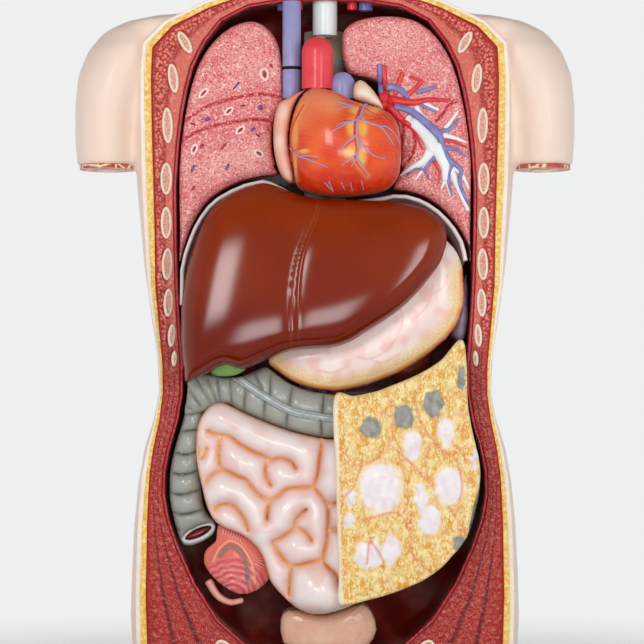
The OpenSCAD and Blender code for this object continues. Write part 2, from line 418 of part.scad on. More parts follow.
module left_bronchi() { color([0.93, 0.94, 0.95]) plate(lung_face, lung_face - 4) difference() {
    branches(BRONCHI); branches(ARTERIES, 0.3); branches(VEINS, 0.3); } }

heart_back = -4;
heart_split = -40;
HEART_PEGS = [[-6, 486], [34, 486], [0, 540]];
heart_chamber = [ellipse_points(13, 21), ellipse_points(11, 18)];
module heart_rear_half() { color([0.72, 0.22, 0.16]) difference() {
    stack(smooth(VENTRICLES, 2), [[0.9, heart_back], [1, heart_back - 10], [1, heart_split + 0.2]]);
    plate(-16, heart_split - 1) translate([-6, 512]) rotate(14) polygon(heart_chamber[0]);
    plate(-16, heart_split - 1) translate([34, 512]) rotate(14) polygon(heart_chamber[1]);
    for (p = HEART_PEGS) rod(p[0], p[1], heart_split + 9, heart_split - 1, 2 + peg_gap);
} }
module heart_front_wall() { color([0.88, 0.3, 0.12]) organ(VENTRICLES, heart_split, -52, -92); }
module heart_pegs() { color("silver") for (p = HEART_PEGS)
    rod(p[0], p[1], heart_split + 8, heart_split, 2); }
module right_atrium() { color([0.9, 0.68, 0.6]) difference() {
    stack(smooth(RIGHT_ATRIUM, 2), [[1, heart_back - 4], [1, -54], [0.96, -58.5], [0.88, -62], [0.76, -64]],
        [-34, 520]);
    upright(aorta_x, aorta_y, 550, 600, aorta_r + 0.3);
    upright(cava_x, -31, 549.7, 600, cava_r + 0.3); } }
module left_auricle() { color([0.93, 0.87, 0.76]) organ(LEFT_AURICLE, -30, -56, -66); }
aorta_x = -6;
aorta_y = -46;
aorta_r = 12.6;
module ascending_aorta() { color([0.85, 0.2, 0.24]) { upright(aorta_x, aorta_y, 556.2, 586, aorta_r);
    translate([aorta_x, aorta_y, 586]) sphere(aorta_r, $fn = round_fn); } }
module pulmonary_trunk() { color([0.55, 0.53, 0.72]) { upright(14.6, -40, 553.6, 566, 7.4);
    translate([14.6, -40, 566]) sphere(7.4, $fn = round_fn); } }
module vena_cava_stub() { color([0.55, 0.53, 0.72]) upright(cava_x, -31, 550, 573.4, cava_r); }

// ---- belly organs ----

stomach_split = -20;
stomach_back = 6;
STOMACH_PEGS = [[4, 336], [88, 372]];
module stomach_rear_half() { color([0.9, 0.74, 0.7]) difference() {
    stack(smooth(STOMACH, 2), [[0.94, stomach_back], [1, stomach_back - 8],
        [1, stomach_split + 0.2]], [60, 380]);
    for (p = STOMACH_PEGS) rod(p[0], p[1], stomach_split + 9, stomach_split - 1, 2 + peg_gap); } }
module stomach_front_half() { color([0.93, 0.8, 0.76]) organ(STOMACH, stomach_split, -34, -50, [60, 380]); }
module stomach_pegs() { color("silver") for (p = STOMACH_PEGS)
    rod(p[0], p[1], stomach_split + 8, stomach_split, 2); }
liver_back = -52;
module liver() { color([0.45, 0.13, 0.06]) {
    stack(smooth(LIVER, 1), concat([[0.985, liver_back], [1, liver_back - 4]],
        dome(-60, -92, 6, 0.55)), [-20, 410]);
    stack(smooth(LIVER_REAR, 2), [[0.8, 8], [0.93, 0], [1, -16], [1, liver_back]]); } }
module gallbladder() { color([0.5, 0.68, 0.36]) organ(GALLBLADDER, -30, -42, -51.6); }
module spleen() { color([0.58, 0.5, 0.6]) { difference() {
    organ(SPLEEN, 36, -10, -22);
    plate(stomach_back + 2, -40) offset(delta = 1.2) polygon(smooth(STOMACH, 2)); }
    rod(106, 392, 54, 34, 7); } }

gut_back = -2;
OMENTUM_PEGS = [[40, 240], [84, 230]];
module small_intestine() { color([0.94, 0.82, 0.78]) difference() {
    organ(SMALL_INTESTINE, gut_back, -42, -60, [0, 220], 2, 0.35);
    for (p = OMENTUM_PEGS) rod(p[0], p[1], -44, -62, 2.5 + peg_gap); } }
module transverse_colon() { color([0.58, 0.58, 0.56]) stack(smooth(TRANSVERSE_COLON, 1),
    [[1, gut_back], [1, -44], [0.985, -48.5], [0.96, -52]], [0, 300]); }
module ascending_colon() { color([0.6, 0.61, 0.59]) difference() {
    organ(ASCENDING_COLON, gut_back, -26, -46, [-107, 250], 1, 0.5);
    plate(-26, -60) translate([-102, 200.5]) rotate(25) polygon(ellipse_points(13, 5)); } }
module descending_colon() { color([0.6, 0.61, 0.59])
    organ(DESCENDING_COLON, gut_back, -24, -42, [114, 240], 1, 0.5); }
module terminal_ileum() { color([0.8, 0.36, 0.36])
    organ(TERMINAL_ILEUM, gut_back, -28, -40, undef, 2, 0.4); }
APPENDIX = [[-94, 160], [-87, 149], [-77, 143.5], [-67, 145]];
module appendix() { color([0.85, 0.6, 0.55]) plate(-16, -24) branches([[APPENDIX, 7, 4.5]]); }
omentum_back = -63;
module greater_omentum() { color([0.92, 0.72, 0.34]) stack(smooth(OMENTUM, 1),
    [[1, omentum_back], [1, -66], [0.97, -69.5], [0.9, -71.5]], [64, 240]); }
module omentum_pegs() { color("silver") for (p = OMENTUM_PEGS) rod(p[0], p[1], -46, omentum_back, 2.5); }

base_board();
base_feet();
base_screws();
trunk_shell();
skin_edge();
fat_layer();
muscle_layer();
bone_sections();
pleura();
arm_muscle_sections();
humerus_sections();
neck_section();
vertebrae();
intervertebral_discs();
spinal_cord();
trachea();
oesophagus();
neck_arteries();
neck_veins();
upper_vena_cava();
diaphragm();
abdominal_aorta();
lower_vena_cava();
kidneys();
bladder();
organ_sockets();
spleen();
right_lung();
right_lung_airways();
left_lung();
left_bronchi();
left_pulmonary_arteries();
left_pulmonary_veins();
heart_rear_half();
heart_front_wall();
heart_pegs();
right_atrium();
left_auricle();
pulmonary_trunk();
ascending_aorta();
vena_cava_stub();
stomach_rear_half();
stomach_front_half();
stomach_pegs();
liver();
gallbladder();
small_intestine();
transverse_colon();
ascending_colon();
descending_colon();
terminal_ileum();
appendix();
greater_omentum();
omentum_pegs();
socket_peg(0, lung_back);  // organ_pegs_right_lung
socket_peg(1, lung_back);  // organ_pegs_left_lung
socket_peg(2, heart_back);  // organ_peg_heart
socket_peg(3, stomach_back);  // organ_peg_stomach
socket_peg(4, 8);  // organ_peg_liver
union() { socket_peg(5, gut_back); socket_peg(6, gut_back); }  // organ_pegs_intestines
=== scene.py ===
import math

import bmesh
import bpy
import numpy as np
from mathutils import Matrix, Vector, geometry, kdtree


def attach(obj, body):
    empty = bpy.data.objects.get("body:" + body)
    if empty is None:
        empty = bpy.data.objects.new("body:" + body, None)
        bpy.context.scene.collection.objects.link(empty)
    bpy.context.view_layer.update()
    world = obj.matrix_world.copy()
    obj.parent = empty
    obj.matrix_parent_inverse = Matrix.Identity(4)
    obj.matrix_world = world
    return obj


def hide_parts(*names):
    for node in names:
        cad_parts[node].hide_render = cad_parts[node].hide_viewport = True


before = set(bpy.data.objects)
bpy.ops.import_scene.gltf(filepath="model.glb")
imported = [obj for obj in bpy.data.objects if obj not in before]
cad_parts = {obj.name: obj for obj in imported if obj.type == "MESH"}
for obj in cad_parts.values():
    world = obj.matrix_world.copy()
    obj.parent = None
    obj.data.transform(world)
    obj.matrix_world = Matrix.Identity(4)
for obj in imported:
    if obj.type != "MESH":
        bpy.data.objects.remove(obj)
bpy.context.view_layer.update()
MM = 0.001                      # the helpers work in millimetres, (x, z) seen from the front

# ---------------------------------------------------------------- outlines


def loops_at(node, y):
    """The closed outlines of a CAD node at one depth, clockwise, the longest first."""
    bm = bmesh.new()
    bm.from_mesh(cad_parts[node].data)
    bmesh.ops.remove_doubles(bm, verts=bm.verts, dist=2e-5)
    level = {v for v in bm.verts if abs(v.co.y / MM - y) < 0.03}
    links = {}
    for e in bm.edges:
        a, b = e.verts
        if a in level and b in level:
            flat = [all(v in level for v in f.verts) for f in e.link_faces]
            if not all(flat) or len(flat) < 2:
                links.setdefault(a, []).append(b)
                links.setdefault(b, []).append(a)
    found = []
    while links:
        start = next(iter(links))
        path, here, last = [start], start, None
        while True:
            ahead = [v for v in links.get(here, ()) if v is not last and v not in path[1:]]
            if not ahead or (ahead[0] is start and len(path) > 2):
                break
            last, here = here, ahead[0]
            if here is start:
                break
            path.append(here)
        for v in path:
            links.pop(v, None)
        if len(path) > 4:
            p = np.array([[v.co.x, v.co.z] for v in path]) / MM
            ahead = np.roll(p, -1, 0)
            if np.sum(p[:, 0] * ahead[:, 1] - ahead[:, 0] * p[:, 1]) > 0:
                p = p[::-1]
            found.append(np.roll(p, -np.argmax(p[:, 0].round(3)), 0))
    bm.free()
    return sorted(found, key=lambda p: -length(p, True))


def length(p, closed=False):
    q = np.vstack([p, p[:1]]) if closed else p
    return np.linalg.norm(np.diff(q, axis=0), axis=1).sum()


def resample(p, step, closed=False):
    q = np.vstack([p, p[:1]]) if closed else np.asarray(p, float)
    s = np.r_[0, np.cumsum(np.linalg.norm(np.diff(q, axis=0), axis=1))]
    n = max(3, int(round(s[-1] / step)))
    t = np.linspace(0, s[-1], n + 1)[: n if closed else n + 1]
    return np.stack([np.interp(t, s, q[:, k]) for k in range(q.shape[1])], 1)


def curve(points, step, closed=False):
    """A smooth curve through the points."""
    p = np.array(points, float)
    ends = (p[-1:], p[:2]) if closed else (2 * p[:1] - p[1:2], 2 * p[-1:] - p[-2:-1])
    q = np.vstack([ends[0], p, ends[1]])
    t = np.linspace(0, 1, 10, endpoint=False)[:, None]
    out = []
    for a, b, c, d in zip(q, q[1:], q[2:], q[3:]):
        out.append(0.5 * (2 * b + (c - a) * t + (2 * a - 5 * b + 4 * c - d) * t ** 2
                          + (3 * b - a - 3 * c + d) * t ** 3))
    out = np.vstack(out if closed else out + [p[-1:]])
    return resample(out, step, closed)


def segments(line, closed):
    q = np.vstack([line, line[:1]]) if closed else line
    return q[:-1], q[1:]


def nearest(p, lines, closed=False):
    """Distance from each point to the nearest of several lines."""
    rows = []
    for line in lines:
        q = resample(line, 0.7, closed)
        n = np.arange(len(q))
        ahead = (n + 1) % len(q) if closed else np.minimum(n + 1, len(q) - 1)
        behind = (n - 1) % len(q) if closed else np.maximum(n - 1, 0)
        rows.append((q, q[ahead], q[behind]))
    q, ahead, behind = (np.vstack(k) for k in zip(*rows))
    tree = kdtree.KDTree(len(q))
    for i, (x, z) in enumerate(q.tolist()):
        tree.insert((x, z, 0), i)
    tree.balance()
    i = np.array([tree.find((x, z, 0))[1] for x, z in np.asarray(p).tolist()])
    best = np.full(len(p), 1e9)
    for other in (ahead, behind):
        d = other[i] - q[i]
        t = np.clip(np.sum((p - q[i]) * d, 1) / np.maximum(np.sum(d * d, 1), 1e-9), 0, 1)
        best = np.minimum(best, np.hypot(*(p - q[i] - t[:, None] * d).T))
    return best


def distance(p, line, closed=False):
    return nearest(p, [line], closed)


def along(p, line):
    """(distance, length along the line) of each point's nearest place on a line."""
    best, where, start = np.full(len(p), 1e9), np.zeros(len(p)), 0.0
    for a, b in zip(*segments(np.asarray(line, float), False)):
        d = b - a
        size = max(np.hypot(*d), 1e-9)
        t = np.clip(((p - a) @ d) / size ** 2, 0, 1)
        gap = p - a - t[:, None] * d
        far = np.hypot(*gap.T)
        near = far < best
        best = np.where(near, far, best)
        where = np.where(near, start + t * size, where)
        start += size
    return best, where


def inside(p, loops):
    order = np.argsort(p[:, 1])
    x, z = p[order].T
    odd = np.zeros(len(p), bool)
    for loop in loops:
        a, b = segments(loop, True)
        first = np.searchsorted(z, np.minimum(a[:, 1], b[:, 1]))
        last = np.searchsorted(z, np.maximum(a[:, 1], b[:, 1]))
        for i in np.flatnonzero(last > first):
            rows = slice(first[i], last[i])
            cut = a[i, 0] + (z[rows] - a[i, 1]) * (b[i, 0] - a[i, 0]) / (b[i, 1] - a[i, 1])
            odd[order[rows]] ^= x[rows] < cut
    return odd


def rim_distance(p, loops):
    return nearest(p, loops, True)


def offset(loop, gap):
    """The closed loop moved inwards by gap."""
    ahead, behind = np.roll(loop, -1, 0), np.roll(loop, 1, 0)
    t = ahead - behind
    t /= np.maximum(np.linalg.norm(t, axis=1, keepdims=True), 1e-9)
    area = np.sum(loop[:, 0] * ahead[:, 1] - ahead[:, 0] * loop[:, 1])
    return loop + gap * np.sign(area) * np.stack([-t[:, 1], t[:, 0]], 1)


def turned(p, f):
    """The triangles f of the flat points p, all anticlockwise."""
    a, b, c = (p[f[:, k]] for k in range(3))
    area = ((b[:, 0] - a[:, 0]) * (c[:, 1] - a[:, 1]) - (b[:, 1] - a[:, 1]) * (c[:, 0] - a[:, 0]))
    return np.where(area[:, None] > 0, f, f[:, ::-1])


def triangles(points, loops):
    """Constrained triangulation of points whose first ones are the loops' own."""
    edges, n = [], 0
    for loop in loops:
        edges += [(n + i, n + (i + 1) % len(loop)) for i in range(len(loop))]
        n += len(loop)
    v, _, f, origin, _, _ = geometry.delaunay_2d_cdt([Vector(p) for p in points], edges, [], 0, 1e-6)
    v = np.array([tuple(p) for p in v])
    f = np.array([t for t in f if len(t) == 3])
    f = f[inside(v[f].mean(1), loops)]
    old = np.array([o[0] if o else -1 for o in origin])
    return v, turned(v, f), old


def fill(loops, step):
    """A flat mesh of the region inside the loops: (points, triangles)."""
    every = np.vstack(loops)
    low, high = every.min(0), every.max(0)
    gx, gz = np.meshgrid(np.arange(low[0], high[0], step),
                         np.arange(low[1], high[1], step * 0.866))
    gx[1::2] += step / 2
    grid = np.c_[gx.ravel(), gz.ravel()]
    grid = grid[inside(grid, loops)]
    grid = grid[rim_distance(grid, loops) > 0.75 * step]
    rims = []
    for share in (0.12, 0.4):
        for i, loop in enumerate(loops):
            rim = offset(loop, share * step * (1 if i == 0 else -1))
            rim = rim[inside(rim, loops)]
            if len(rim):
                rims.append(rim[rim_distance(rim, loops) > 0.8 * share * step])
    return triangles(np.vstack([every] + rims + [grid]), loops)[:2]


def inflate(loops, creases=(), cell=1.0, rounds=500):
    """How far a skin held down at the outline and the creases swells: a function of points."""
    every = np.vstack(loops)
    low = every.min(0) - 2 * cell
    nx, nz = (np.ceil((every.max(0) + 2 * cell - low) / cell)).astype(int) + 1
    gx, gz = np.meshgrid(low[0] + cell * np.arange(nx), low[1] + cell * np.arange(nz))
    p = np.c_[gx.ravel(), gz.ravel()]
    free = inside(p, loops).astype(float)
    if len(creases):
        free[nearest(p, creases) < 0.7 * cell] = 0
    free = free.reshape(nz, nx)
    free[[0, -1]] = 0
    free[:, [0, -1]] = 0
    u = np.zeros((nz, nx))
    checker = (np.add.outer(np.arange(nz), np.arange(nx)) % 2).astype(float)
    for _ in range(rounds):
        for colour in (checker, 1 - checker):
            near = np.zeros_like(u)
            near[1:-1, 1:-1] = (u[2:, 1:-1] + u[:-2, 1:-1] + u[1:-1, 2:] + u[1:-1, :-2]) / 4
            u += 1.85 * colour * free * (near + cell * cell / 4 - u)
            u *= free > 0
    u = np.maximum(u, 0)

    def height(q):
        f = np.clip((q - low) / cell, 0, [nx - 1.001, nz - 1.001])
        i = f.astype(int)
        t = f - i
        at = lambda a, b: u[i[:, 1] + b, i[:, 0] + a]
        mid = ((1 - t[:, 0]) * (1 - t[:, 1]) * at(0, 0) + t[:, 0] * (1 - t[:, 1]) * at(1, 0)
               + (1 - t[:, 0]) * t[:, 1] * at(0, 1) + t[:, 0] * t[:, 1] * at(1, 1))
        return np.sqrt(2 * mid)
    return height


def roundover(d, r):
    """Height share, 0 at the rim and 1 from r inwards, along a quarter circle."""
    t = np.clip(d / r, 0, 1)
    return np.sqrt(np.maximum(0, 1 - (1 - t) ** 2))


def bell(d, width):
    return np.exp(-(d / width) ** 2)


def noise_field(p, size, seed=0):
    """Smooth random field, about -1 to 1, with lumps of the given size."""
    rng = np.random.default_rng(seed)
    total = np.zeros(len(p))
    for _ in range(14):
        a = rng.uniform(0, 2 * math.pi)
        k = 2 * math.pi / (size * rng.uniform(0.7, 1.7))
        total += np.sin(k * (p[:, 0] * math.cos(a) + p[:, 1] * math.sin(a)) + rng.uniform(0, 6.3))
    return total / 4


# ---------------------------------------------------------------- colour


def lin(c):
    c = np.asarray(c, float)
    return np.where(c <= 0.04045, c / 12.92, ((c + 0.055) / 1.055) ** 2.4)


def mix(a, b, t):
    t = np.clip(np.asarray(t, float), 0, 1)[..., None]
    return np.asarray(a, float) * (1 - t) + np.asarray(b, float) * t


class Paint:
    """A procedural material, built step by step."""

    def __init__(self, name, colour=(0.8, 0.8, 0.8), rough=0.4, coat=0.0, metal=0.0,
                 subsurface=0.0, gloss=0.35):
        self.material = bpy.data.materials.new(name)
        self.material.use_nodes = True
        self.tree = self.material.node_tree
        self.shader = self.tree.nodes["Principled BSDF"]
        self.material.diffuse_color = (*lin(colour), 1)
        self.colour = self.rgb(colour)
        self.height = None
        put = self.shader.inputs
        put["Roughness"].default_value = rough
        put["Metallic"].default_value = metal
        put["IOR"].default_value = 1.45
        put["Coat Weight"].default_value = coat
        put["Coat Roughness"].default_value = 0.06
        put["Subsurface Weight"].default_value = subsurface
        put["Subsurface Radius"].default_value = (1, 0.35, 0.2)
        put["Subsurface Scale"].default_value = 0.003
        put["Specular IOR Level"].default_value = gloss
        coords = self.tree.nodes.new("ShaderNodeTexCoord")
        self.where = coords.outputs["Object"]

    def add(self, kind, inputs=(), **settings):
        n = self.tree.nodes.new("ShaderNode" + kind)
        for k, v in settings.items():
            setattr(n, k, v)
        for k, v in dict(inputs).items():
            if isinstance(v, bpy.types.NodeSocket):
                self.tree.links.new(v, n.inputs[k])
            else:
                n.inputs[k].default_value = v
        return n

    def rgb(self, c):
        n = self.add("RGB")
        n.outputs[0].default_value = (*lin(c), 1)
        return n.outputs[0]

    def stretched(self, scale):
        return self.add("VectorMath", {0: self.where, 1: scale}, operation="MULTIPLY").outputs[0]

    def noise(self, size, detail=3.0, rough=0.55, stretch=(1, 1, 1), twist=0.0):
        """Noise with lumps of that many millimetres."""
        n = self.add("TexNoise", {"Vector": self.stretched(stretch), "Scale": 1000 / size,
                                  "Detail": detail, "Roughness": rough, "Distortion": twist})
        return n.outputs["Fac"]

    def cells(self, size, feature="F1"):
        """Distances in cells of that many millimetres."""
        n = self.add("TexVoronoi", {"Vector": self.stretched((1, 1, 1)), "Scale": 1000 / size,
                                    "Randomness": 1.0}, feature=feature)
        return n.outputs["Distance"]

    def attribute(self, name, colour=False):
        n = self.add("Attribute", attribute_name=name)
        return n.outputs["Color" if colour else "Fac"]

    def window(self, value, low, high, amount=1.0):
        """0 below low, amount above high (or the other way round), smooth between."""
        n = self.add("MapRange", {"Value": value, "From Min": low, "From Max": high,
                                  "To Min": 0.0, "To Max": amount}, interpolation_type="SMOOTHSTEP")
        return n.outputs["Result"]

    def math(self, operation, a, b=0.0):
        return self.add("Math", {0: a, 1: b}, operation=operation).outputs[0]

    def blend(self, share, colour):
        n = self.add("Mix", {"Factor": share}, data_type="RGBA", blend_type="MIX")
        self.tree.links.new(self.colour, n.inputs[6])
        if isinstance(colour, bpy.types.NodeSocket):
            self.tree.links.new(colour, n.inputs[7])
        else:
            n.inputs[7].default_value = (*lin(colour), 1)
        self.colour = n.outputs[2]
        return self

    def tint(self):
        """Starts from the colours stored on the mesh."""
        self.colour = self.attribute("Tint", True)
        return self

    def raised(self, value, amount):
        """Adds value times amount millimetres to the relief."""
        v = self.math("MULTIPLY", value, amount)
        self.height = v if self.height is None else self.math("ADD", self.height, v)
        return self

    def done(self):
        self.tree.links.new(self.colour, self.shader.inputs["Base Color"])
        if self.height is not None:
            b = self.add("Bump", {"Height": self.height, "Strength": 1.0, "Distance": MM})
            self.tree.links.new(b.outputs["Normal"], self.shader.inputs["Normal"])
        return self.material


# ---------------------------------------------------------------- meshes


def piece(name, verts, faces, body, material, nodes=(), tint=None, layers=(), sharp=50):
    """A mesh piece from millimetre vertices, riding on a body."""
    mesh = bpy.data.meshes.new(name)
    mesh.from_pydata((np.asarray(verts) * MM).tolist(), [], [list(map(int, f)) for f in faces])
    if tint is not None:
        layer = mesh.color_attributes.new("Tint", "FLOAT_COLOR", "POINT")
        full = np.ones((len(verts), 4))
        full[:, :3] = lin(np.clip(tint, 0, 1))
        layer.data.foreach_set("color", full.ravel())
    for key, values in dict(layers).items():
        mesh.attributes.new(key, "FLOAT", "POINT").data.foreach_set("value", values)
    finish_mesh(mesh, sharp)
    obj = bpy.data.objects.new(name, mesh)
    bpy.context.scene.collection.objects.link(obj)
    mesh.materials.append(material)
    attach(obj, body)
    if nodes:
        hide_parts(*nodes)
    return obj


def finish_mesh(mesh, sharp):
    mesh.validate()
    mesh.shade_smooth()
    mesh.set_sharp_from_angle(angle=math.radians(sharp))


def relief(name, loops, height, back, body, material, nodes=(), tint=None,
           layers=None, step=1.2, tuck=1.5, smooth=True, sharp=60):
    """A closed body with a modelled front: height(points, rim distance) gives the front's y."""
    loops = [curve(p, step, True) if smooth else resample(p, step, True) for p in loops]
    flat, faces = fill(loops, step)
    d = rim_distance(flat, loops)
    d[d < 0.02] = 0
    front = height(flat, d)
    verts = [np.c_[flat[:, 0], front, flat[:, 1]]]
    faces = [tuple(f) for f in faces.tolist()]
    once = {}
    for f in faces:
        for a, b in zip(f, f[1:] + f[:1]):
            if (b, a) in once:
                del once[(b, a)]
            else:
                once[(a, b)] = True
    follow, rings = {}, []
    for a, b in once:
        follow.setdefault(a, []).append(b)
    while follow:
        start = here = next(iter(follow))
        ring = []
        while not ring or here != start:
            ring.append(here)
            ahead = follow[here].pop()
            if not follow[here]:
                del follow[here]
            here = ahead
        if len(ring) < 8:
            faces.append(tuple(ring[::-1]))
        else:
            rings.append(ring)
    rings.sort(key=len, reverse=True)
    count, backs, back_loops = len(flat), [], []
    for k, ring in enumerate(rings):
        edge = flat[ring]
        tucked = offset(edge, tuck * (1 if k == 0 else -1))
        previous = ring
        for share, where in ((0.5, edge), (0.85, offset(edge, tuck * 0.35 * (1 if k == 0 else -1))),
                             (1.0, tucked)):
            y = front[ring] + (back - front[ring]) * share
            verts.append(np.c_[where[:, 0], y, where[:, 1]])
            row = list(range(count, count + len(ring)))
            count += len(ring)
            n = len(ring)
            faces += [(previous[i], row[i], row[(i + 1) % n], previous[(i + 1) % n])
                      for i in range(n)]
            previous = row
        backs += previous
        back_loops.append(tucked)
    _, f, old = triangles(np.vstack(back_loops), back_loops)
    base = np.array(backs)
    faces += [tuple(base[old[t[::-1]]]) for t in f if np.all(old[t] >= 0)]
    verts = np.vstack(verts)
    every = verts[:, [0, 2]]
    rim = np.r_[d, np.zeros(len(verts) - len(flat))]
    colours = tint(every, rim, verts[:, 1]) if tint else None
    values = layers(every, rim) if layers else {}
    return piece(name, verts, faces, body, material, nodes, colours, values, sharp)


def ring_frames(path):
    path = np.asarray(path, float)
    t = np.gradient(path, axis=0)
    t /= np.maximum(np.linalg.norm(t, axis=1, keepdims=True), 1e-9)
    up = np.array([0.0, 1.0, 0.0])
    if abs(t[0] @ up) > 0.9:
        up = np.array([1.0, 0, 0])
    frames = []
    for i in range(len(path)):
        u = up - (up @ t[i]) * t[i]
        u /= max(np.linalg.norm(u), 1e-9)
        frames.append((u, np.cross(t[i], u)))
        up = u
    return frames


def tube_mesh(path, radius, sides=12, flat=1.0, blunt=True):
    """Vertices and faces of a tube along a path of (x, y, z), closed at both ends."""
    path = np.asarray(path, float)
    radius = np.broadcast_to(np.asarray(radius, float), (len(path),)).copy()
    if blunt:
        ends = [0.35, 0.75, 0.95]
        head = path[0] - (path[1] - path[0]) / np.linalg.norm(path[1] - path[0]) * radius[0] * 0.5
        tail = path[-1] + (path[-1] - path[-2]) / np.linalg.norm(path[-1] - path[-2]) * radius[-1] * 0.5
        first = [head + (path[0] - head) * k for k in (0, 0.3, 0.7)]
        last = [path[-1] + (tail - path[-1]) * k for k in (0.3, 0.7, 1)]
        path = np.vstack([first, path, last])
        radius = np.r_[radius[0] * np.array(ends), radius, radius[-1] * np.array(ends[::-1])]
    a = np.linspace(0, 2 * math.pi, sides, endpoint=False)
    verts = [p + r * (np.outer(np.cos(a) * flat, u) + np.outer(np.sin(a), w))
             for p, r, (u, w) in zip(path, radius, ring_frames(path))]
    verts = np.vstack(verts)
    faces = [(i * sides + j, i * sides + (j + 1) % sides, (i + 1) * sides + (j + 1) % sides,
              (i + 1) * sides + j) for i in range(len(path) - 1) for j in range(sides)]
    faces.append(tuple(range(sides))[::-1])
    faces.append(tuple(range((len(path) - 1) * sides, len(path) * sides)))
    return verts, faces


def join(parts):
    """Several (vertices, faces) as one."""
    verts, faces, n = [], [], 0
    for v, f in parts:
        verts.append(v)
        faces += [tuple(i + n for i in face) for face in f]
        n += len(v)
    return np.vstack(verts), faces


def vessels(name, lines, surface, body, material, nodes=(), sides=10, flat=0.8, step=1.5):
    """Tubes lying on a surface: lines of (points, radius at start, radius at end)."""
    parts = []
    for points, r0, r1 in lines:
        p = curve(points, step)
        r = np.linspace(r0, r1, len(p))
        y = surface(p) - 0.15 * r
        parts.append(tube_mesh(np.c_[p[:, 0], y, p[:, 1]], r, sides, flat))
    v, f = join(parts)
    return piece(name, v, f, body, material, nodes)


def dress(material, *nodes, sharp=40):
    """Gives CAD nodes that stay in view their material."""
    for n in nodes:
        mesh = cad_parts[n].data
        mesh.materials.clear()
        mesh.materials.append(material)
        mesh.shade_smooth()
        mesh.set_sharp_from_angle(angle=math.radians(sharp))


# ---------------------------------------------------------------- finishes

WALL_RED, IVORY, CRIMSON = (0.67, 0.12, 0.08), (0.95, 0.91, 0.82), (0.62, 0.06, 0.13)
PALE_PINK, LUNG_PINK = (0.95, 0.85, 0.82), (0.90, 0.50, 0.51)


def plain(name, colour, rough=0.4, coat=0.0, mottle=None, size=12, amount=0.5, bump=0.0,
          bump_size=1.5, subsurface=0.0, metal=0.0):
    """One colour with a soft mottle and a fine bump."""
    m = Paint(name, colour, rough, coat, metal, subsurface=subsurface)
    if mottle is not None:
        m.blend(m.window(m.noise(size), 0.35, 0.7, amount), mottle)
    if bump:
        m.raised(m.noise(bump_size, 4), bump)
    return m.done()


def tinted(name, rough=0.35, coat=0.2, mottle=None, size=6, amount=0.3, bump=0.1, bump_size=1.2,
           subsurface=0.05, gloss=0.35, haze=0.06):
    """The colours stored on the mesh with a soft mottle and a fine bump."""
    m = Paint(name, (0.8, 0.8, 0.8), rough, coat, gloss=gloss, subsurface=subsurface).tint()
    m.shader.inputs["Coat Roughness"].default_value = haze
    if mottle is not None:
        m.blend(m.window(m.noise(size, 4), 0.4, 0.7, amount), mottle)
    if bump:
        m.raised(m.noise(bump_size, 4), bump)
    return m.done()


def lung_paint():
    m = Paint("lung_flesh", LUNG_PINK, 0.42, 0.15, subsurface=0.05).tint()
    m.blend(m.window(m.noise(9, 3), 0.45, 0.75, 0.35), (0.84, 0.30, 0.33))
    m.blend(m.window(m.noise(1.9, 2, 0.7), 0.52, 0.62, 0.8), (0.99, 0.84, 0.82))
    m.blend(m.window(m.noise(1.6, 2, 0.7, (1, 1, 1.3)), 0.53, 0.63, 0.9), (0.70, 0.15, 0.20))
    m.raised(m.noise(1.8, 2, 0.7), 0.6)
    return m.done()


def fat_paint():
    m = Paint("fat_flesh", (0.93, 0.73, 0.28), 0.42, 0.15)
    m.blend(m.window(m.noise(3.2, 4, 0.6), 0.42, 0.62, 0.85), (0.98, 0.90, 0.62))
    m.blend(m.window(m.noise(4.2, 3, 0.6), 0.56, 0.7, 0.7), (0.86, 0.53, 0.13))
    m.blend(m.window(m.attribute("Across"), 0.80, 0.98, 0.9), (0.86, 0.30, 0.10))
    m.blend(m.window(m.attribute("Across"), 0.14, 0.0, 0.6), (0.99, 0.93, 0.80))
    m.raised(m.noise(1.6, 3), 0.45)
    return m.done()


def muscle_paint():
    m = Paint("muscle_flesh", WALL_RED, 0.38, 0.2)
    across, chest = m.attribute("Across"), m.attribute("Chest")
    m.blend(m.window(m.noise(5, 3, 0.6, (1, 1, 0.35)), 0.42, 0.62, 0.55), (0.60, 0.07, 0.07))
    m.blend(m.math("MULTIPLY", m.window(across, 0.52, 0.68, 0.85), chest), (0.86, 0.42, 0.36))
    grains = m.window(m.cells(2.5), 0.60, 0.36)
    column = m.math("MULTIPLY", m.window(across, 0.06, 0.16), m.window(across, 0.52, 0.34))
    coarse = m.math("MULTIPLY", grains, m.math("MULTIPLY", column, m.math(
        "ADD", m.math("MULTIPLY", chest, 0.62), 0.22)))
    m.blend(coarse, (0.93, 0.50, 0.42))
    fine = m.math("MULTIPLY", m.window(m.cells(1.3), 0.5, 0.3), m.window(across, 0.3, 0.5, 0.34))
    m.blend(fine, (0.92, 0.55, 0.48))
    for line in (0.36, 0.66):
        near = m.math("ABSOLUTE", m.math("SUBTRACT", across, line))
        waist = m.math("SUBTRACT", 1.0, chest)
        m.blend(m.math("MULTIPLY", m.window(near, 0.045, 0.015, 0.9), waist), (0.42, 0.03, 0.04))
    m.blend(m.window(across, 0.05, 0.0, 0.8), (0.55, 0.06, 0.04))
    m.blend(m.window(across, 0.93, 0.99, 0.8), (0.55, 0.05, 0.08))
    m.raised(m.cells(2.5), -0.6).raised(m.noise(1.0, 3), 0.25)
    return m.done()


def bone_paint():
    m = Paint("bone_section_face", IVORY, 0.4, 0.15)
    core = m.window(m.attribute("Depth"), 1.5, 2.3)
    m.blend(m.math("MULTIPLY", core, 0.75), (0.93, 0.76, 0.66))
    m.blend(m.math("MULTIPLY", core, m.window(m.cells(1.2), 0.3, 0.5, 0.8)), (0.86, 0.50, 0.42))
    m.raised(m.math("MULTIPLY", core, m.cells(1.2)), 0.6)
    return m.done()


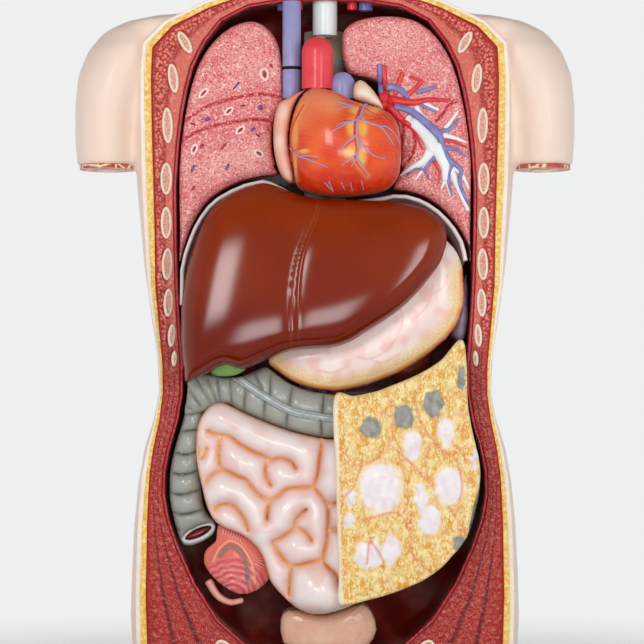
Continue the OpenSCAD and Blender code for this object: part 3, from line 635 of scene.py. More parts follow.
def omentum_paint():
    m = Paint("omentum_fat", (0.9, 0.7, 0.3), 0.42, 0.2).tint()
    fatty = m.attribute("Fatty")
    squiggle = m.window(m.noise(3.4, 2, 0.6, (1.5, 1, 0.7), 1.2), 0.46, 0.56, 0.9)
    m.blend(m.math("MULTIPLY", squiggle, fatty), (0.99, 0.93, 0.70))
    golden = m.window(m.noise(3.0, 2, 0.6, (1.3, 1, 0.8), 1.0), 0.56, 0.68, 0.6)
    m.blend(m.math("MULTIPLY", golden, fatty), (0.86, 0.60, 0.16))
    rosy = m.window(m.noise(14, 3), 0.5, 0.7, 0.35)
    m.blend(m.math("MULTIPLY", rosy, fatty), (0.93, 0.62, 0.48))
    m.raised(m.math("MULTIPLY", m.noise(3.2, 2, 0.6, (1.4, 1, 0.7), 1.2), fatty), 1.2)
    return m.done()


def section_paint():
    m = Paint("limb_section", (0.74, 0.24, 0.20), 0.4, 0.15)
    m.blend(m.window(m.noise(3, 3), 0.4, 0.65, 0.6), (0.86, 0.42, 0.36))
    m.blend(m.window(m.cells(15, "DISTANCE_TO_EDGE"), 0.07, 0.03), (0.95, 0.86, 0.68))
    m.raised(m.noise(1.5, 3), 0.4)
    return m.done()


LUNG = lung_paint()
FAT = fat_paint()
MUSCLE = muscle_paint()
BONE_FACE = bone_paint()
OMENTUM_FAT = omentum_paint()
SKIN_EDGE = plain("skin_edge_ivory", (0.97, 0.92, 0.86), 0.4, 0.15, (0.96, 0.84, 0.77), 8, 0.5, 0.15)
PLEURA = plain("pleura_crimson", CRIMSON, 0.3, 0.3, (0.78, 0.14, 0.18), 7, 0.5, 0.2)
ARTERY = plain("artery_red", (0.86, 0.16, 0.19), 0.32, 0.3, (0.93, 0.32, 0.32), 8, 0.5, 0.08)
AORTA = plain("aorta_red", (0.90, 0.24, 0.27), 0.38, 0.2, (0.94, 0.34, 0.36), 12, 0.5, 0.05)
VEIN = plain("vein_lilac", (0.47, 0.46, 0.70), 0.34, 0.3, (0.60, 0.60, 0.80), 8, 0.6, 0.08)
CAVA = plain("cava_lilac", (0.58, 0.58, 0.77), 0.4, 0.2, (0.66, 0.66, 0.82), 12, 0.5, 0.04)
AIRWAY = plain("airway_white", (0.94, 0.96, 0.96), 0.35, 0.3, (0.86, 0.93, 0.94), 8, 0.5, 0.08)
RING_WHITE = plain("cut_airway", (0.98, 0.90, 0.87), 0.4, 0.2, bump=0.2)
CUT_RED = plain("cut_vessel_red", (0.52, 0.03, 0.09), 0.35, 0.2, (0.75, 0.15, 0.2), 3, 0.6, 0.2)
CUT_BLUE = plain("cut_vessel_blue", (0.30, 0.20, 0.42), 0.35, 0.2, (0.55, 0.45, 0.66), 3, 0.6, 0.2)
STEEL = plain("steel_pin", (0.75, 0.76, 0.78), 0.28, metal=1.0, bump=0.02)
BOARD = plain("board_grey", (0.20, 0.20, 0.21), 0.55, mottle=(0.25, 0.25, 0.26), size=5, bump=0.12,
              bump_size=0.9)
RUBBER = plain("rubber_black", (0.05, 0.05, 0.05), 0.7, bump=0.1)
SOCKET = plain("socket_white", (0.86, 0.86, 0.84), 0.45, bump=0.05)
CARTILAGE = plain("disc_cartilage", (0.78, 0.84, 0.87), 0.35, 0.2, (0.9, 0.93, 0.94), 6, 0.5, 0.1)
NERVE = plain("nerve_yellow", (0.93, 0.86, 0.45), 0.4, 0.15, (0.97, 0.93, 0.7), 3, 0.6, 0.1)
VERTEBRA = plain("vertebra_ivory", (0.94, 0.89, 0.78), 0.45, 0.1, (0.87, 0.78, 0.62), 9, 0.6, 0.3)
GULLET = plain("gullet_pink", (0.83, 0.52, 0.47), 0.4, 0.2, (0.9, 0.65, 0.6), 4, 0.5, 0.3)
LINING = plain("heart_lining", (0.80, 0.38, 0.34), 0.4, 0.2, (0.62, 0.16, 0.16), 6, 0.6, 0.5)
KIDNEY = plain("kidney_red", (0.60, 0.20, 0.15), 0.3, 0.35, (0.70, 0.30, 0.22), 14, 0.5, 0.1)
BLADDER = plain("bladder_peach", (0.90, 0.73, 0.62), 0.35, 0.3, (0.86, 0.58, 0.50), 14, 0.5, 0.15)
LIVER = tinted("liver_gloss", 0.4, 0.7, (0.44, 0.10, 0.0), 60, 0.3, 0.0, 4, 0.0, 0.0, 0.11)
STOMACH = tinted("stomach_skin", 0.3, 0.35, (0.97, 0.80, 0.77), 9, 0.35, 0.12, 2)
GUT = tinted("small_gut_skin", 0.26, 0.4, (0.95, 0.80, 0.76), 10, 0.3, 0.04, 2, 0.06)
COLON = tinted("colon_grey", 0.3, 0.35, (0.66, 0.67, 0.64), 8, 0.3, 0.06, 2, 0.0)
HEART = tinted("heart_muscle", 0.3, 0.35, (0.93, 0.38, 0.16), 5, 0.3, 0.12, 1.6)
SOFT = tinted("soft_tissue", 0.36, 0.25, None, bump=0.1)
GALL = plain("gall_green", (0.45, 0.66, 0.33), 0.28, 0.4, (0.58, 0.75, 0.42), 8, 0.5, 0.05)
SPLEEN = plain("spleen_violet", (0.55, 0.46, 0.58), 0.3, 0.35, (0.72, 0.66, 0.75), 10, 0.6, 0.1)
DIAPHRAGM = tinted("diaphragm_rim", 0.34, 0.3, None, bump=0.08)
SKIN = tinted("trunk_skin", 0.46, 0.1, (0.96, 0.82, 0.76), 40, 0.15, 0.05, 1.2, 0.08)
SECTION = section_paint()

# ---------------------------------------------------------------- the chest and belly wall


def ring_layer(name, node, material, rise=0.9, step=1.2):
    """One layer of the wall's cut face, slightly swollen between its two neighbours."""
    loops = loops_at(node, -28)
    outer, inner = loops[0], loops[1]

    def values(p, d):
        a, b = distance(p, outer, True), distance(p, inner, True)
        return {"Across": a / np.maximum(a + b, 1e-6), "Depth": d,
                "Chest": np.clip((p[:, 1] - 345) / 20, 0, 1)}

    def height(p, d):
        return -27.9 - rise * roundover(d, 1.5) - 0.25 * noise_field(p, 6, 3) * (d > 0.5)

    return relief(name, loops, height, -24, "trunk", material, (node,), None, values, step,
                  0.0, smooth=False)


ring_layer("wall_skin", "skin_edge", SKIN_EDGE, 0.5)
ring_layer("wall_fat", "fat_layer", FAT, 0.7)
ring_layer("wall_muscle", "muscle_layer", MUSCLE, 0.9, 1.1)
ring_layer("wall_pleura", "pleura", PLEURA, 0.8)

bones = loops_at("bone_sections", -28)
for i, loop in enumerate(bones):
    relief(f"bone_section_{i + 1:02d}", [loop],
           lambda p, d: -28.1 - 1.6 * roundover(d, 2.2) + 0.5 * np.clip((d - 2) / 1.5, 0, 1), -24,
           "trunk", BONE_FACE, ("bone_sections",), None,
           lambda p, d: {"Depth": d}, 0.8, 0.0)

# ---------------------------------------------------------------- lungs

RIGHT_FISSURES = [
    [[-117, 529.5], [-98, 542], [-80.5, 548.5], [-62.5, 552.5], [-48, 553.5], [-34, 551]],
    [[-117, 516], [-98, 525.5], [-80.5, 530], [-62.5, 533], [-48, 533], [-38, 530.5]]]
LEFT_FISSURES = [
    [[105.5, 548.5], [98.5, 544], [94, 537], [89.5, 532.5]],
    [[63, 534], [62, 519], [60.5, 506.5]], [[68, 533.5], [72, 519], [70.5, 506.5], [62, 494.5]]]
HEART_OUTLINES = [loops_at("heart_front_wall", -52)[0], loops_at("right_atrium", -54)[0]]


def lung(name, node, body, fissures):
    loops = [curve(loops_at(node, -29.5)[0], 1.5, True)]
    beside = np.clip((8 - rim_distance(loops[0], HEART_OUTLINES)) / 3, 0, 1) * (loops[0][:, 1] > 496)
    loops = [loops[0] + (offset(loops[0], -2.3) - loops[0]) * beside[:, None]]
    fissures = [curve(f, 1.5) for f in fissures]

    def height(p, d):
        gap = nearest(p, fissures)
        groove = 1.6 * bell(gap, 1.1) - 0.8 * bell(gap - 2.4, 1.2)
        return (-27 - 6.4 * roundover(d, 7) - 0.5 * noise_field(p, 30, 2) * np.clip(d / 8, 0, 1)
                + groove)

    def tint(p, d, y):
        f = nearest(p, fissures)
        c = mix(LUNG_PINK, (0.94, 0.62, 0.60), 0.5 + 0.5 * noise_field(p, 45, 5))
        c = mix(c, (0.86, 0.30, 0.33), 0.45 * bell(f, 6))
        # painted highlight: a pale line along the low raised ridge beside each fissure
        c = mix(c, (0.97, 0.70, 0.68), 0.7 * bell(f - 2.2, 0.9))
        c = mix(c, (0.74, 0.05, 0.12), bell(f, 1.2))
        return mix(c, (0.80, 0.28, 0.32), 0.6 * bell(d, 1.6))
    relief(name, loops[:1], height, 12, body, LUNG, (node,), tint, step=1.25, tuck=3)
    return lambda p: height(p, rim_distance(p, loops[:1]))


right_face = lung("right_lung_flesh", "right_lung", "right_lung_unit", RIGHT_FISSURES)
left_face = lung("left_lung_flesh", "left_lung", "left_lung_unit", LEFT_FISSURES)

# cut airways and vessels: (x, z, half length, half width, turn in degrees)
CUT_AIRWAYS = [(-97.8, 554.4, 4.6, 1.9, 48), (-48.6, 569.6, 4.6, 3.0, 100), (-77.4, 540, 3.8, 1.9, 42),
               (-68.2, 524.7, 3.9, 2.0, 40), (-105.2, 509.4, 4.0, 1.9, 68), (-53.2, 506, 3.8, 2.2, -35)]
CUT_VEINS = [(-71.4, 560.4, 4.4, 1.0, 50), (-94.6, 533.6, 2.3, 1.7, 30), (-52.1, 542.9, 2.5, 2.1, 20),
             (-57.8, 525.4, 2.4, 1.3, 35), (-106.4, 493.6, 3.2, 1.3, 66), (-78.5, 495, 3.1, 1.2, 68)]
CUT_ARTERIES = [(-106.4, 529.7, 2.6, 0.8, -20), (-66, 544.3, 2.3, 0.8, 12), (-54.2, 520.7, 2.4, 0.9, -40),
                (-98.9, 512.2, 2.1, 1.3, 48), (-81.7, 511.5, 3.7, 1.0, 50), (-106, 477.9, 2.2, 1.2, 55),
                (-43.5, 576.8, 1.7, 1.2, -60)]


def cut_shapes(name, marks, material, ring, nodes=(), rise=0.5):
    """Small cut pipes lying in the right lung's face: rings or filled slits."""
    made = []
    for x, z, a, b, turn in marks:
        t = np.linspace(0, 2 * math.pi, 26)[:-1]
        c, s = math.cos(math.radians(turn)), math.sin(math.radians(turn))
        u, v = a * np.cos(t), b * np.sin(t) * (1 + 0.15 * np.cos(t))
        p = np.c_[x + u * c - v * s, z + u * s + v * c]
        centre = np.array([[x, z]])
        y = right_face(p)
        if ring:
            path = np.c_[p[:, 0], y - 0.1, p[:, 1]]
            path = np.vstack([path, path[:2]])
            made.append(tube_mesh(path, 0.75, 8, 0.8, False))
        else:
            rows = [np.c_[p[:, 0], y + 0.6, p[:, 1]]]
            for k, up in ((1.0, 0.0), (0.8, rise * 0.7), (0.45, rise)):
                q = centre + (p - centre) * k
                rows.append(np.c_[q[:, 0], y - up, q[:, 1]])
            n = len(p)
            verts = np.vstack(rows + [[[x, right_face(centre)[0] - rise, z]]])
            faces = [(r * n + i, r * n + (i + 1) % n, (r + 1) * n + (i + 1) % n, (r + 1) * n + i)
                     for r in range(3) for i in range(n)]
            faces += [(3 * n + i, 3 * n + (i + 1) % n, 4 * n) for i in range(n)]
            faces.append(tuple(range(n))[::-1])
            made.append((verts, faces))
    v, f = join(made)
    return piece(name, v, f, "right_lung_unit", material, nodes)


cut_shapes("right_lung_cut_airways", CUT_AIRWAYS, RING_WHITE, True, ("right_lung_airways",))
cut_shapes("right_lung_cut_veins", CUT_VEINS, CUT_BLUE, False, ())
cut_shapes("right_lung_cut_arteries", CUT_ARTERIES, CUT_RED, False, ())
cut_shapes("right_lung_airway_hollows", [(x, z, a * 0.62, b * 0.5, t) for x, z, a, b, t in CUT_AIRWAYS],
           CUT_RED, False, (), 0.15)

# left lung trees: (points, radius at start, radius at end)
BRONCHI = [
    ([[66.5, 534], [76, 526.5], [83.5, 517.5], [88, 509]], 3.5, 6),
    ([[85, 508], [79, 499.5], [69.5, 494.5], [60.5, 488]], 4.2, 0.8),
    ([[82, 497.5], [78, 492], [72.5, 484.5]], 2, 0.6), ([[89, 511], [94, 502], [97, 494.5], [97, 485]], 6, 3),
    ([[97, 486.5], [95.5, 482], [93.5, 477.5]], 1.8, 0.6), ([[97, 486.5], [99, 479], [100.5, 472]], 1.8, 0.6),
    ([[100.5, 496], [105, 483.5], [109.5, 473], [115, 460.5]], 2.8, 1.5),
    ([[104, 495], [108, 491.5], [111.5, 486.5], [116, 477.5]], 2, 0.7),
    ([[92.5, 521], [102.5, 519], [113.5, 515]], 2.6, 0.7),
    ([[97, 526.5], [102.5, 533.5], [107, 540]], 1.8, 0.6),
    ([[73.5, 543.5], [76.5, 538], [82, 533.5]], 2, 1.4), ([[79, 547], [85, 544], [91, 541]], 1.6, 1)]
LUNG_ARTERIES = [
    ([[56.5, 543.5], [66.5, 541], [76, 535], [85, 527], [92, 520.5]], 2.6, 3.6),
    ([[91, 523.5], [100.5, 525.5], [105, 530.5], [108, 534]], 2, 0.8),
    ([[92, 521], [94, 513.5], [97, 505], [102.5, 497.5]], 3, 2),
    ([[97, 509.5], [105, 509.5], [109.5, 506.5], [113.5, 503.5]], 1.8, 0.8),
    ([[102.5, 497.5], [99.5, 489.5], [99.5, 481.5], [102, 472]], 1.8, 0.7),
    ([[102.5, 499], [109.5, 492], [108, 483.5], [111.5, 473], [115, 465]], 2, 1.1),
    ([[89, 503.5], [82, 496.5], [79, 493], [72.5, 493.5], [66.5, 488]], 1.5, 0.6),
    ([[79.5, 493], [82, 489], [83.5, 485]], 1, 0.5), ([[44, 577], [44.5, 566], [45, 555]], 2, 2),
    ([[50.5, 559.5], [59, 558], [66.5, 551.5]], 3, 2.2), ([[74, 555.5], [81, 557], [89, 559.5]], 1.9, 1.4),
    ([[76, 546.5], [82, 542.5], [89.5, 539.5]], 1.3, 0.7)]
LUNG_VEINS = [
    ([[45, 551], [51.5, 549.5], [61, 548], [72.5, 547], [83.5, 549], [101, 548.5]], 4.2, 1),
    ([[46.5, 545.5], [53.5, 542], [60.5, 534], [69, 527], [74, 519.5], [78, 509.5]], 4, 0.7),
    ([[47.5, 576], [48, 566], [49, 553]], 1.9, 2.3), ([[62, 571], [59.5, 562.5], [56.5, 554]], 1.7, 2),
    ([[78, 564.5], [72.5, 558], [65, 551.5]], 1.6, 2), ([[68, 567.5], [72.5, 566], [78, 564.5]], 1.1, 1.1),
    ([[90.5, 515.5], [101, 516], [114, 511]], 1.8, 0.7), ([[88, 499.5], [92, 490.5], [91.5, 482]], 1.3, 0.6)]
vessels("left_bronchial_tree", BRONCHI, left_face, "left_lung_unit", AIRWAY, ("left_bronchi",),
        14, 0.45)
vessels("left_lung_arteries", LUNG_ARTERIES, lambda p: left_face(p) - 1.0, "left_lung_unit", VEIN,
        ("left_pulmonary_arteries",), 12, 0.6)
vessels("left_lung_veins", LUNG_VEINS, lambda p: left_face(p) - 0.8, "left_lung_unit", ARTERY,
        ("left_pulmonary_veins",), 12, 0.6)

# ---------------------------------------------------------------- diaphragm

arch = loops_at("diaphragm", -31)[0]


def dome_tint(p, d, y):
    # painted shade: everything from y = -27 back, the arch's receding sides, is darkened to stand for the
    # shadowed gap under the rim
    return mix((0.95, 0.92, 0.90), (0.55, 0.44, 0.42), (y > -27) * 0.8)


relief("diaphragm_arch", [arch], lambda p, d: -28.5 - 3.4 * roundover(d, 1.8), 12, "trunk", DIAPHRAGM,
       ("diaphragm",), dome_tint, step=0.9, tuck=0.2, smooth=False)

dome_line = curve(arch, 1.5, True)
outward = dome_line - offset(dome_line, 1.0)
under = np.sum(outward * (np.array([0, 385]) - dome_line), 1) > 0
under[np.abs(dome_line[:, 1] - dome_line[:, 1].min()) < 3] = False
order = np.roll(np.arange(len(under)), -int(np.flatnonzero(~under)[0]))
stretches = np.split(order, np.flatnonzero(np.diff(under[order].astype(int))) + 1)
lower = max((s for s in stretches if under[s[0]]), key=len)
under_line, under_out = dome_line[lower], outward[lower]
rows = [np.insert(under_line + under_out * inwards, 1, y, axis=1)
        for inwards, y in ((-0.8, -27.5), (1.4, -26.0), (3.4, -21), (4.6, -14), (2.6, -12), (-0.8, -14))]
n = len(under_line)
strip_faces = [(a * n + i, a * n + i + 1, b * n + i + 1, b * n + i)
               for a, b in zip(range(6), (1, 2, 3, 4, 5, 0)) for i in range(n - 1)]
strip_faces += [tuple(k * n for k in range(6))[::-1], tuple(k * n + n - 1 for k in range(6))]
# painted shade: the strip under the arch's lower edge is a dark brownish grey that stands for the shadowed
# gap beneath the rim
piece("diaphragm_underside", np.vstack(rows), strip_faces, "trunk",
      plain("diaphragm_underside_shade", (0.52, 0.42, 0.40), 0.35, 0.3, (0.42, 0.30, 0.29), 6, 0.5, 0.2), ())

# ---------------------------------------------------------------- heart


def crown(loops, rim, top, power=0.8, creases=(), cell=1.0):
    """Height of a dome over the loops, from y = rim at its edge to y = top."""
    swell = inflate(loops, creases, cell)
    every = np.vstack([curve(p, 1.5, True) for p in loops])
    low, high = every.min(0), every.max(0)
    gx, gz = np.meshgrid(np.linspace(low[0], high[0], 60), np.linspace(low[1], high[1], 60))
    most = swell(np.c_[gx.ravel(), gz.ravel()]).max()
    return lambda p: rim + (top - rim) * (swell(p) / most) ** power


HEART_RED, HEART_FAT = (0.84, 0.20, 0.05), (0.95, 0.80, 0.42)
LEFT_DOWN = [[28.5, 540], [26, 533.5], [23.5, 525.5], [23, 518.5], [23.5, 511.5], [24.5, 504.5],
             [23.5, 498.5], [27, 492], [33, 485]]
RIGHT_EDGE = [[-18, 541], [-21.5, 533], [-24.5, 525], [-26, 515], [-26.5, 505], [-26, 494], [-23, 483]]
FAT_PATCHES = [(24, 537, 5.5, 4), (38, 537, 7, 3.5), (20, 523, 4, 8), (29.5, 522, 4, 8),
               (-23.5, 517, 2.6, 12), (-17, 504.5, 5, 2.2), (19, 503, 5, 6), (29, 499, 4, 8),
               (-23.5, 495, 1.6, 12)]
ARTERY_TWIGS = [
    (LEFT_DOWN, 1.1, 0.4), ([[-16.5, 541], [-20.5, 534.5], [-24.5, 527], [-27, 518.5], [-27, 512]], 0.9, 0.9),
    ([[-27, 512], [-27, 505], [-26.8, 495.5], [-25, 487], [-22, 480]], 0.9, 0.5),
    ([[-26.5, 509], [-24.5, 505.5], [-19, 506.5], [-14.5, 507]], 0.7, 0.3),
    ([[26, 530], [33, 528.5], [41, 529], [49, 524]], 0.6, 0.3),
    ([[24.5, 527.5], [17, 528], [10, 524], [4, 521]], 0.6, 0.3),
    ([[24, 513], [19, 510], [15, 506]], 0.5, 0.3), ([[26, 512], [31, 508], [36, 506.5]], 0.5, 0.3),
    ([[30, 539], [38, 534.5], [46, 531], [55, 523], [58, 512], [59, 500]], 0.6, 0.3),
    ([[3, 551.5], [10, 550], [17, 545.5], [24.5, 541.5], [28.5, 540]], 0.7, 0.7),
    ([[-20, 501], [-13, 499], [-6, 497.5]], 0.4, 0.3)]
VEIN_TWIGS = [
    ([[35.5, 544.5], [30.5, 540], [28.5, 533.5], [25.5, 528.5], [24.5, 519.5], [25.5, 511.5], [26, 504.5],
      [24.5, 498], [20.5, 492]], 1.2, 0.4),
    ([[25, 528.5], [18.5, 526.5], [13, 523.5], [4.5, 518.5]], 0.8, 0.3),
    ([[18.5, 526.5], [13.5, 526], [8.5, 523]], 0.5, 0.3),
    ([[24.5, 516.5], [18, 511.5], [14, 506.5], [10, 503.5]], 0.8, 0.3),
    ([[25.5, 503], [19.5, 497.5], [13, 493]], 0.7, 0.3), ([[25.5, 499], [29, 493], [34, 484.5]], 0.7, 0.3),
    ([[28.5, 530], [35.5, 525.8], [43, 523.8], [48, 518.5], [54, 509.5]], 0.9, 0.3),
    ([[43, 524.2], [49, 523.5], [55.5, 518], [59, 510]], 0.6, 0.3),
    ([[26.5, 512.5], [32, 505.5], [38.5, 500.5], [47, 498.5]], 0.7, 0.3),
    ([[21.5, 540], [14.5, 542], [7, 543.5]], 0.7, 0.3), ([[20, 539.5], [14.5, 538.8], [9, 536.5]], 0.5, 0.3),
    ([[-29.5, 511.5], [-25.5, 505.5], [-20, 500.5], [-13.5, 498], [-6.5, 495], [2, 491.5]], 1.0, 0.3),
    ([[-20, 500.5], [-13, 500.8], [-4.5, 499.3]], 0.6, 0.3),
    ([[-0.5, 480], [3, 476.5], [6.5, 473]], 0.5, 0.3),
    ([[3, 480.5], [5, 476.5], [6.5, 473]], 0.4, 0.3), ([[13, 479.5], [15.5, 474.5]], 0.4, 0.3),
    ([[20, 479.5], [21.5, 473.5]], 0.4, 0.3), ([[28.5, 481.5], [30.5, 474.5]], 0.4, 0.3)]

wall = [offset(loops_at("heart_front_wall", -52)[0], -1.0)]
heart_dome = crown(wall, -50, -91, 0.72)
left_down, right_edge = curve(LEFT_DOWN, 1), curve(RIGHT_EDGE, 1)


def heart_tint(p, d, y):
    c = mix(HEART_RED, (0.92, 0.38, 0.14), 0.4 + 0.5 * noise_field(p, 26, 8))
    fibres = 0.5 + 0.5 * np.sin(p[:, 1] * 1.9 + 0.5 * p[:, 0] + 2.2 * noise_field(p, 22, 4))
    c = mix(c, (0.95, 0.48, 0.22), 0.2 * fibres)
    # painted highlight towards the top and upper left, painted shade along the bottom edge
    c = mix(c, (0.95, 0.62, 0.45), 0.75 * np.clip((p[:, 1] - 515) / 26, 0, 1) * (p[:, 0] < 60)
            * np.clip((22 - p[:, 0]) / 14, 0.25, 1))
    c = mix(c, (0.78, 0.13, 0.03), 0.75 * np.clip((495 - p[:, 1]) / 12, 0, 1))
    for x, z, a, b in FAT_PATCHES:
        e = ((p[:, 0] - x) / a) ** 2 + ((p[:, 1] - z) / b) ** 2
        c = mix(c, HEART_FAT, 0.8 * np.exp(-e ** 1.5))
    c = mix(c, HEART_FAT, 0.5 * bell(distance(p, left_down), 3.2))
    c = mix(c, (0.96, 0.70, 0.34), 0.6 * bell(distance(p, right_edge) - 1.5, 1.6))
    return mix(c, (0.90, 0.50, 0.38), 0.6 * bell(d, 1.4))


relief("heart_ventricles", wall, lambda p, d: heart_dome(p), -40, "heart_front_unit", HEART,
       ("heart_front_wall",), heart_tint, step=0.9, tuck=0.4)
vessels("coronary_arteries", ARTERY_TWIGS, heart_dome, "heart_front_unit", ARTERY, (), 8, 0.7, 1)
vessels("coronary_veins", VEIN_TWIGS, lambda p: heart_dome(p) - 0.15, "heart_front_unit", CAVA, (),
        8, 0.7, 1)

rear = loops_at("heart_rear_half", -39.8)
relief("heart_rear", rear, lambda p, d: -38.6 - 1.2 * roundover(d, 1.2), -16, "heart_unit", LINING,
       (), None, step=1.4, tuck=0)
rear_back = loops_at("heart_rear_half", -14)[:1]
relief("heart_back", rear_back, lambda p, d: np.full(len(p), -16.2), -4, "heart_unit", HEART,
       ("heart_rear_half",), lambda p, d, y: mix(HEART_RED, (0.93, 0.40, 0.14),
                                                       0.5 + 0.5 * noise_field(p, 16, 3)),
       step=2.0, tuck=4)


def soft_organ(name, node, y, rim, top, back, body, colour_at, power=0.75, material=SOFT,
               step=1.0, tuck=1.5, grow=0.0):
    loops = [offset(curve(loops_at(node, y)[0], 1.5, True), -grow)]
    dome = crown(loops, rim, top, power)
    relief(name, loops, lambda p, d: dome(p), back, body, material, (node,), colour_at,
           step=step, tuck=tuck)
    return dome


def atrium_tint(p, d, y):
    c = mix((0.91, 0.68, 0.59), (0.94, 0.79, 0.72), 0.5 + 0.5 * noise_field(p, 22, 6))
    c = mix(c, (0.93, 0.60, 0.46), 0.7 * np.clip((p[:, 1] - 540) / 14, 0, 1))
    return mix(c, (0.86, 0.48, 0.36), 0.5 * bell(d, 1.6))


def auricle_tint(p, d, y):
    return mix(mix((0.95, 0.92, 0.82), (0.93, 0.80, 0.70), 0.5 + 0.5 * noise_field(p, 12, 2)),
               (0.90, 0.70, 0.58), 0.5 * bell(d, 1.5))


soft_organ("heart_right_atrium", "right_atrium", -54, -50, -63.6, -8, "heart_unit", atrium_tint,
           0.6)
soft_organ("heart_left_auricle", "left_auricle", -56, -52, -65.8, -30, "heart_unit", auricle_tint,
           0.7, step=0.7)


def pipe(name, node, x, y, z0, z1, r, body, material, dome=True, hollow=False):
    """An upright vessel, its top rounded or cut open."""
    profile = [(r, z0), (r, z1)]
    if dome:
        profile += [(r * math.cos(a), z1 + r * math.sin(a)) for a in np.linspace(0.15, 1.5, 9)]
    elif hollow:
        profile += [(r * 0.95, z1 + 0.5), (r * 0.78, z1 + 0.5), (r * 0.72, z1), (r * 0.72, z1 - 8)]
    n = 40
    t = np.linspace(0, 2 * math.pi, n, endpoint=False)
    rows = [np.c_[x + q * np.cos(t), y + q * np.sin(t), np.full(n, z)] for q, z in profile]
    faces = [(k * n + i, k * n + (i + 1) % n, (k + 1) * n + (i + 1) % n, (k + 1) * n + i)
             for k in range(len(rows) - 1) for i in range(n)]
    faces += [tuple(range(n))[::-1], tuple(range((len(rows) - 1) * n, len(rows) * n))]
    return piece(name, np.vstack(rows), faces, body, material, (node,))


pipe("aorta_arch", "ascending_aorta", -6, -46, 556.5, 586, 12.6, "heart_unit", AORTA)
pipe("pulmonary_artery", "pulmonary_trunk", 13.5, -42, 549, 560, 10.6, "heart_unit", CAVA)
pipe("cava_stub", "vena_cava_stub", -26.8, -31, 550.2, 573.0, 7.4, "heart_unit", CAVA, False, True)
pipe("cava_upper", "upper_vena_cava", -26.8, -31, 576, 628, 7.4, "trunk", CAVA, False, True)

# ---------------------------------------------------------------- liver, gallbladder, stomach, spleen

LIVER_RED, LIVER_LIGHT = (0.44, 0.09, 0.0), (0.56, 0.18, 0.0)
SEAM = curve([[-5.6, 466.5], [-9, 452], [-20, 426], [-25, 402], [-26.4, 375], [-26.4, 346]], 1)
SEAM_SIDE = curve([[-3.6, 466.5], [-6.5, 452], [-16.5, 426], [-20.5, 402], [-21, 375], [-20.6, 347]], 1)
lobe = [curve(loops_at("liver", -60)[0], 1.3, True)]
# the lower edge rises over the gallbladder
lobe[0][:, 1] += 5.0 * bell(lobe[0][:, 0] + 79, 10) * (lobe[0][:, 1] < 350)
liver_dome = crown(lobe, 0, 1, 0.9)
liver_halves = crown(lobe, 0, 1, 0.9, [SEAM])


def liver_front(p, d):
    lift = (roundover(d, 15) * (13.5 + 0.12 * (405 - p[:, 1])) + 11 * liver_dome(p)
            + 4.2 * np.sqrt(liver_halves(p) ** 2 + 0.015))
    return -60 - lift - 0.55 * bell(distance(p, SEAM), 1.3) - 0.35 * bell(distance(p, SEAM_SIDE), 1.1)


def liver_tint(p, d, y):
    c = mix(LIVER_RED, LIVER_LIGHT, np.clip((p[:, 1] - 360) / 90, 0, 1) + 0.15 * noise_field(p, 80, 12))
    c = mix(c, (0.62, 0.32, 0.24), 0.55 * bell(distance(p, SEAM), 0.7))
    c = mix(c, (0.62, 0.32, 0.24), 0.4 * bell(distance(p, SEAM_SIDE), 0.6))
    return mix(c, (0.46, 0.09, 0.01), 0.5 * bell(d, 5))


relief("liver_lobes", lobe, liver_front, -52, "liver_unit", LIVER, ("liver",), liver_tint,
       step=1.1, tuck=2)
relief("liver_rear_lobe", loops_at("liver", -16)[:1], lambda p, d: np.full(len(p), -52.5), 8, "liver_unit",
       LIVER, (), liver_tint, step=2.5, tuck=9)
soft_organ("gallbladder_sac", "gallbladder", -42, -44, -60, -30, "liver_unit", None, 0.7,
           GALL, 0.7, grow=0.8)

stomach = loops_at("stomach_front_half", -34)[:1]
bag = crown(stomach, -31, -49.6, 0.6)
GREATER = curve([[-44, 334], [-27.7, 323.8], [-13, 317.7], [3, 315.4], [17.6, 316], [40, 322], [62, 331],
                 [84, 345.6], [102, 362.6], [110.4, 380.5], [111.8, 392], [111, 410]], 1.5)
STOMACH_VEINS = [[[20, 345], [34, 341], [48, 347], [58, 359]], [[36, 341], [46, 338], [60, 345]],
                 [[58, 359], [62, 372], [60, 382]], [[70, 372], [82, 384], [86, 400]],
                 [[84, 392], [94, 398], [98, 408]], [[-6, 332], [6, 330], [18, 335]]]


def stomach_tint(p, d, y):
    edge = distance(p, GREATER)
    c = mix(PALE_PINK, (0.98, 0.92, 0.89), 0.5 + 0.5 * noise_field(p, 24, 9))
    c = mix(c, (0.93, 0.66, 0.63), 0.4 * np.clip(noise_field(p, 15, 19), 0, 1))
    c = mix(c, (0.90, 0.55, 0.52), 0.35 * bell(nearest(p, [curve(v, 2) for v in STOMACH_VEINS]), 0.9))
    strings = 0.55 * noise_field(p, 3.2, 21) + 0.45 * noise_field(p * [1, 1.6], 2.2, 23)
    fat = np.clip(1.45 - edge / 11, 0, 1) * np.clip(0.75 + 0.9 * strings, 0, 1)
    c = mix(c, (0.93, 0.76, 0.40), 0.95 * fat)
    c = mix(c, (0.90, 0.62, 0.24), 0.85 * bell(edge - 2.6, 1.6))
    c = mix(c, (0.97, 0.84, 0.62), 0.8 * bell(edge - 5, 0.9))
    return mix(c, (0.66, 0.10, 0.07), 0.95 * bell(edge, 1.3))


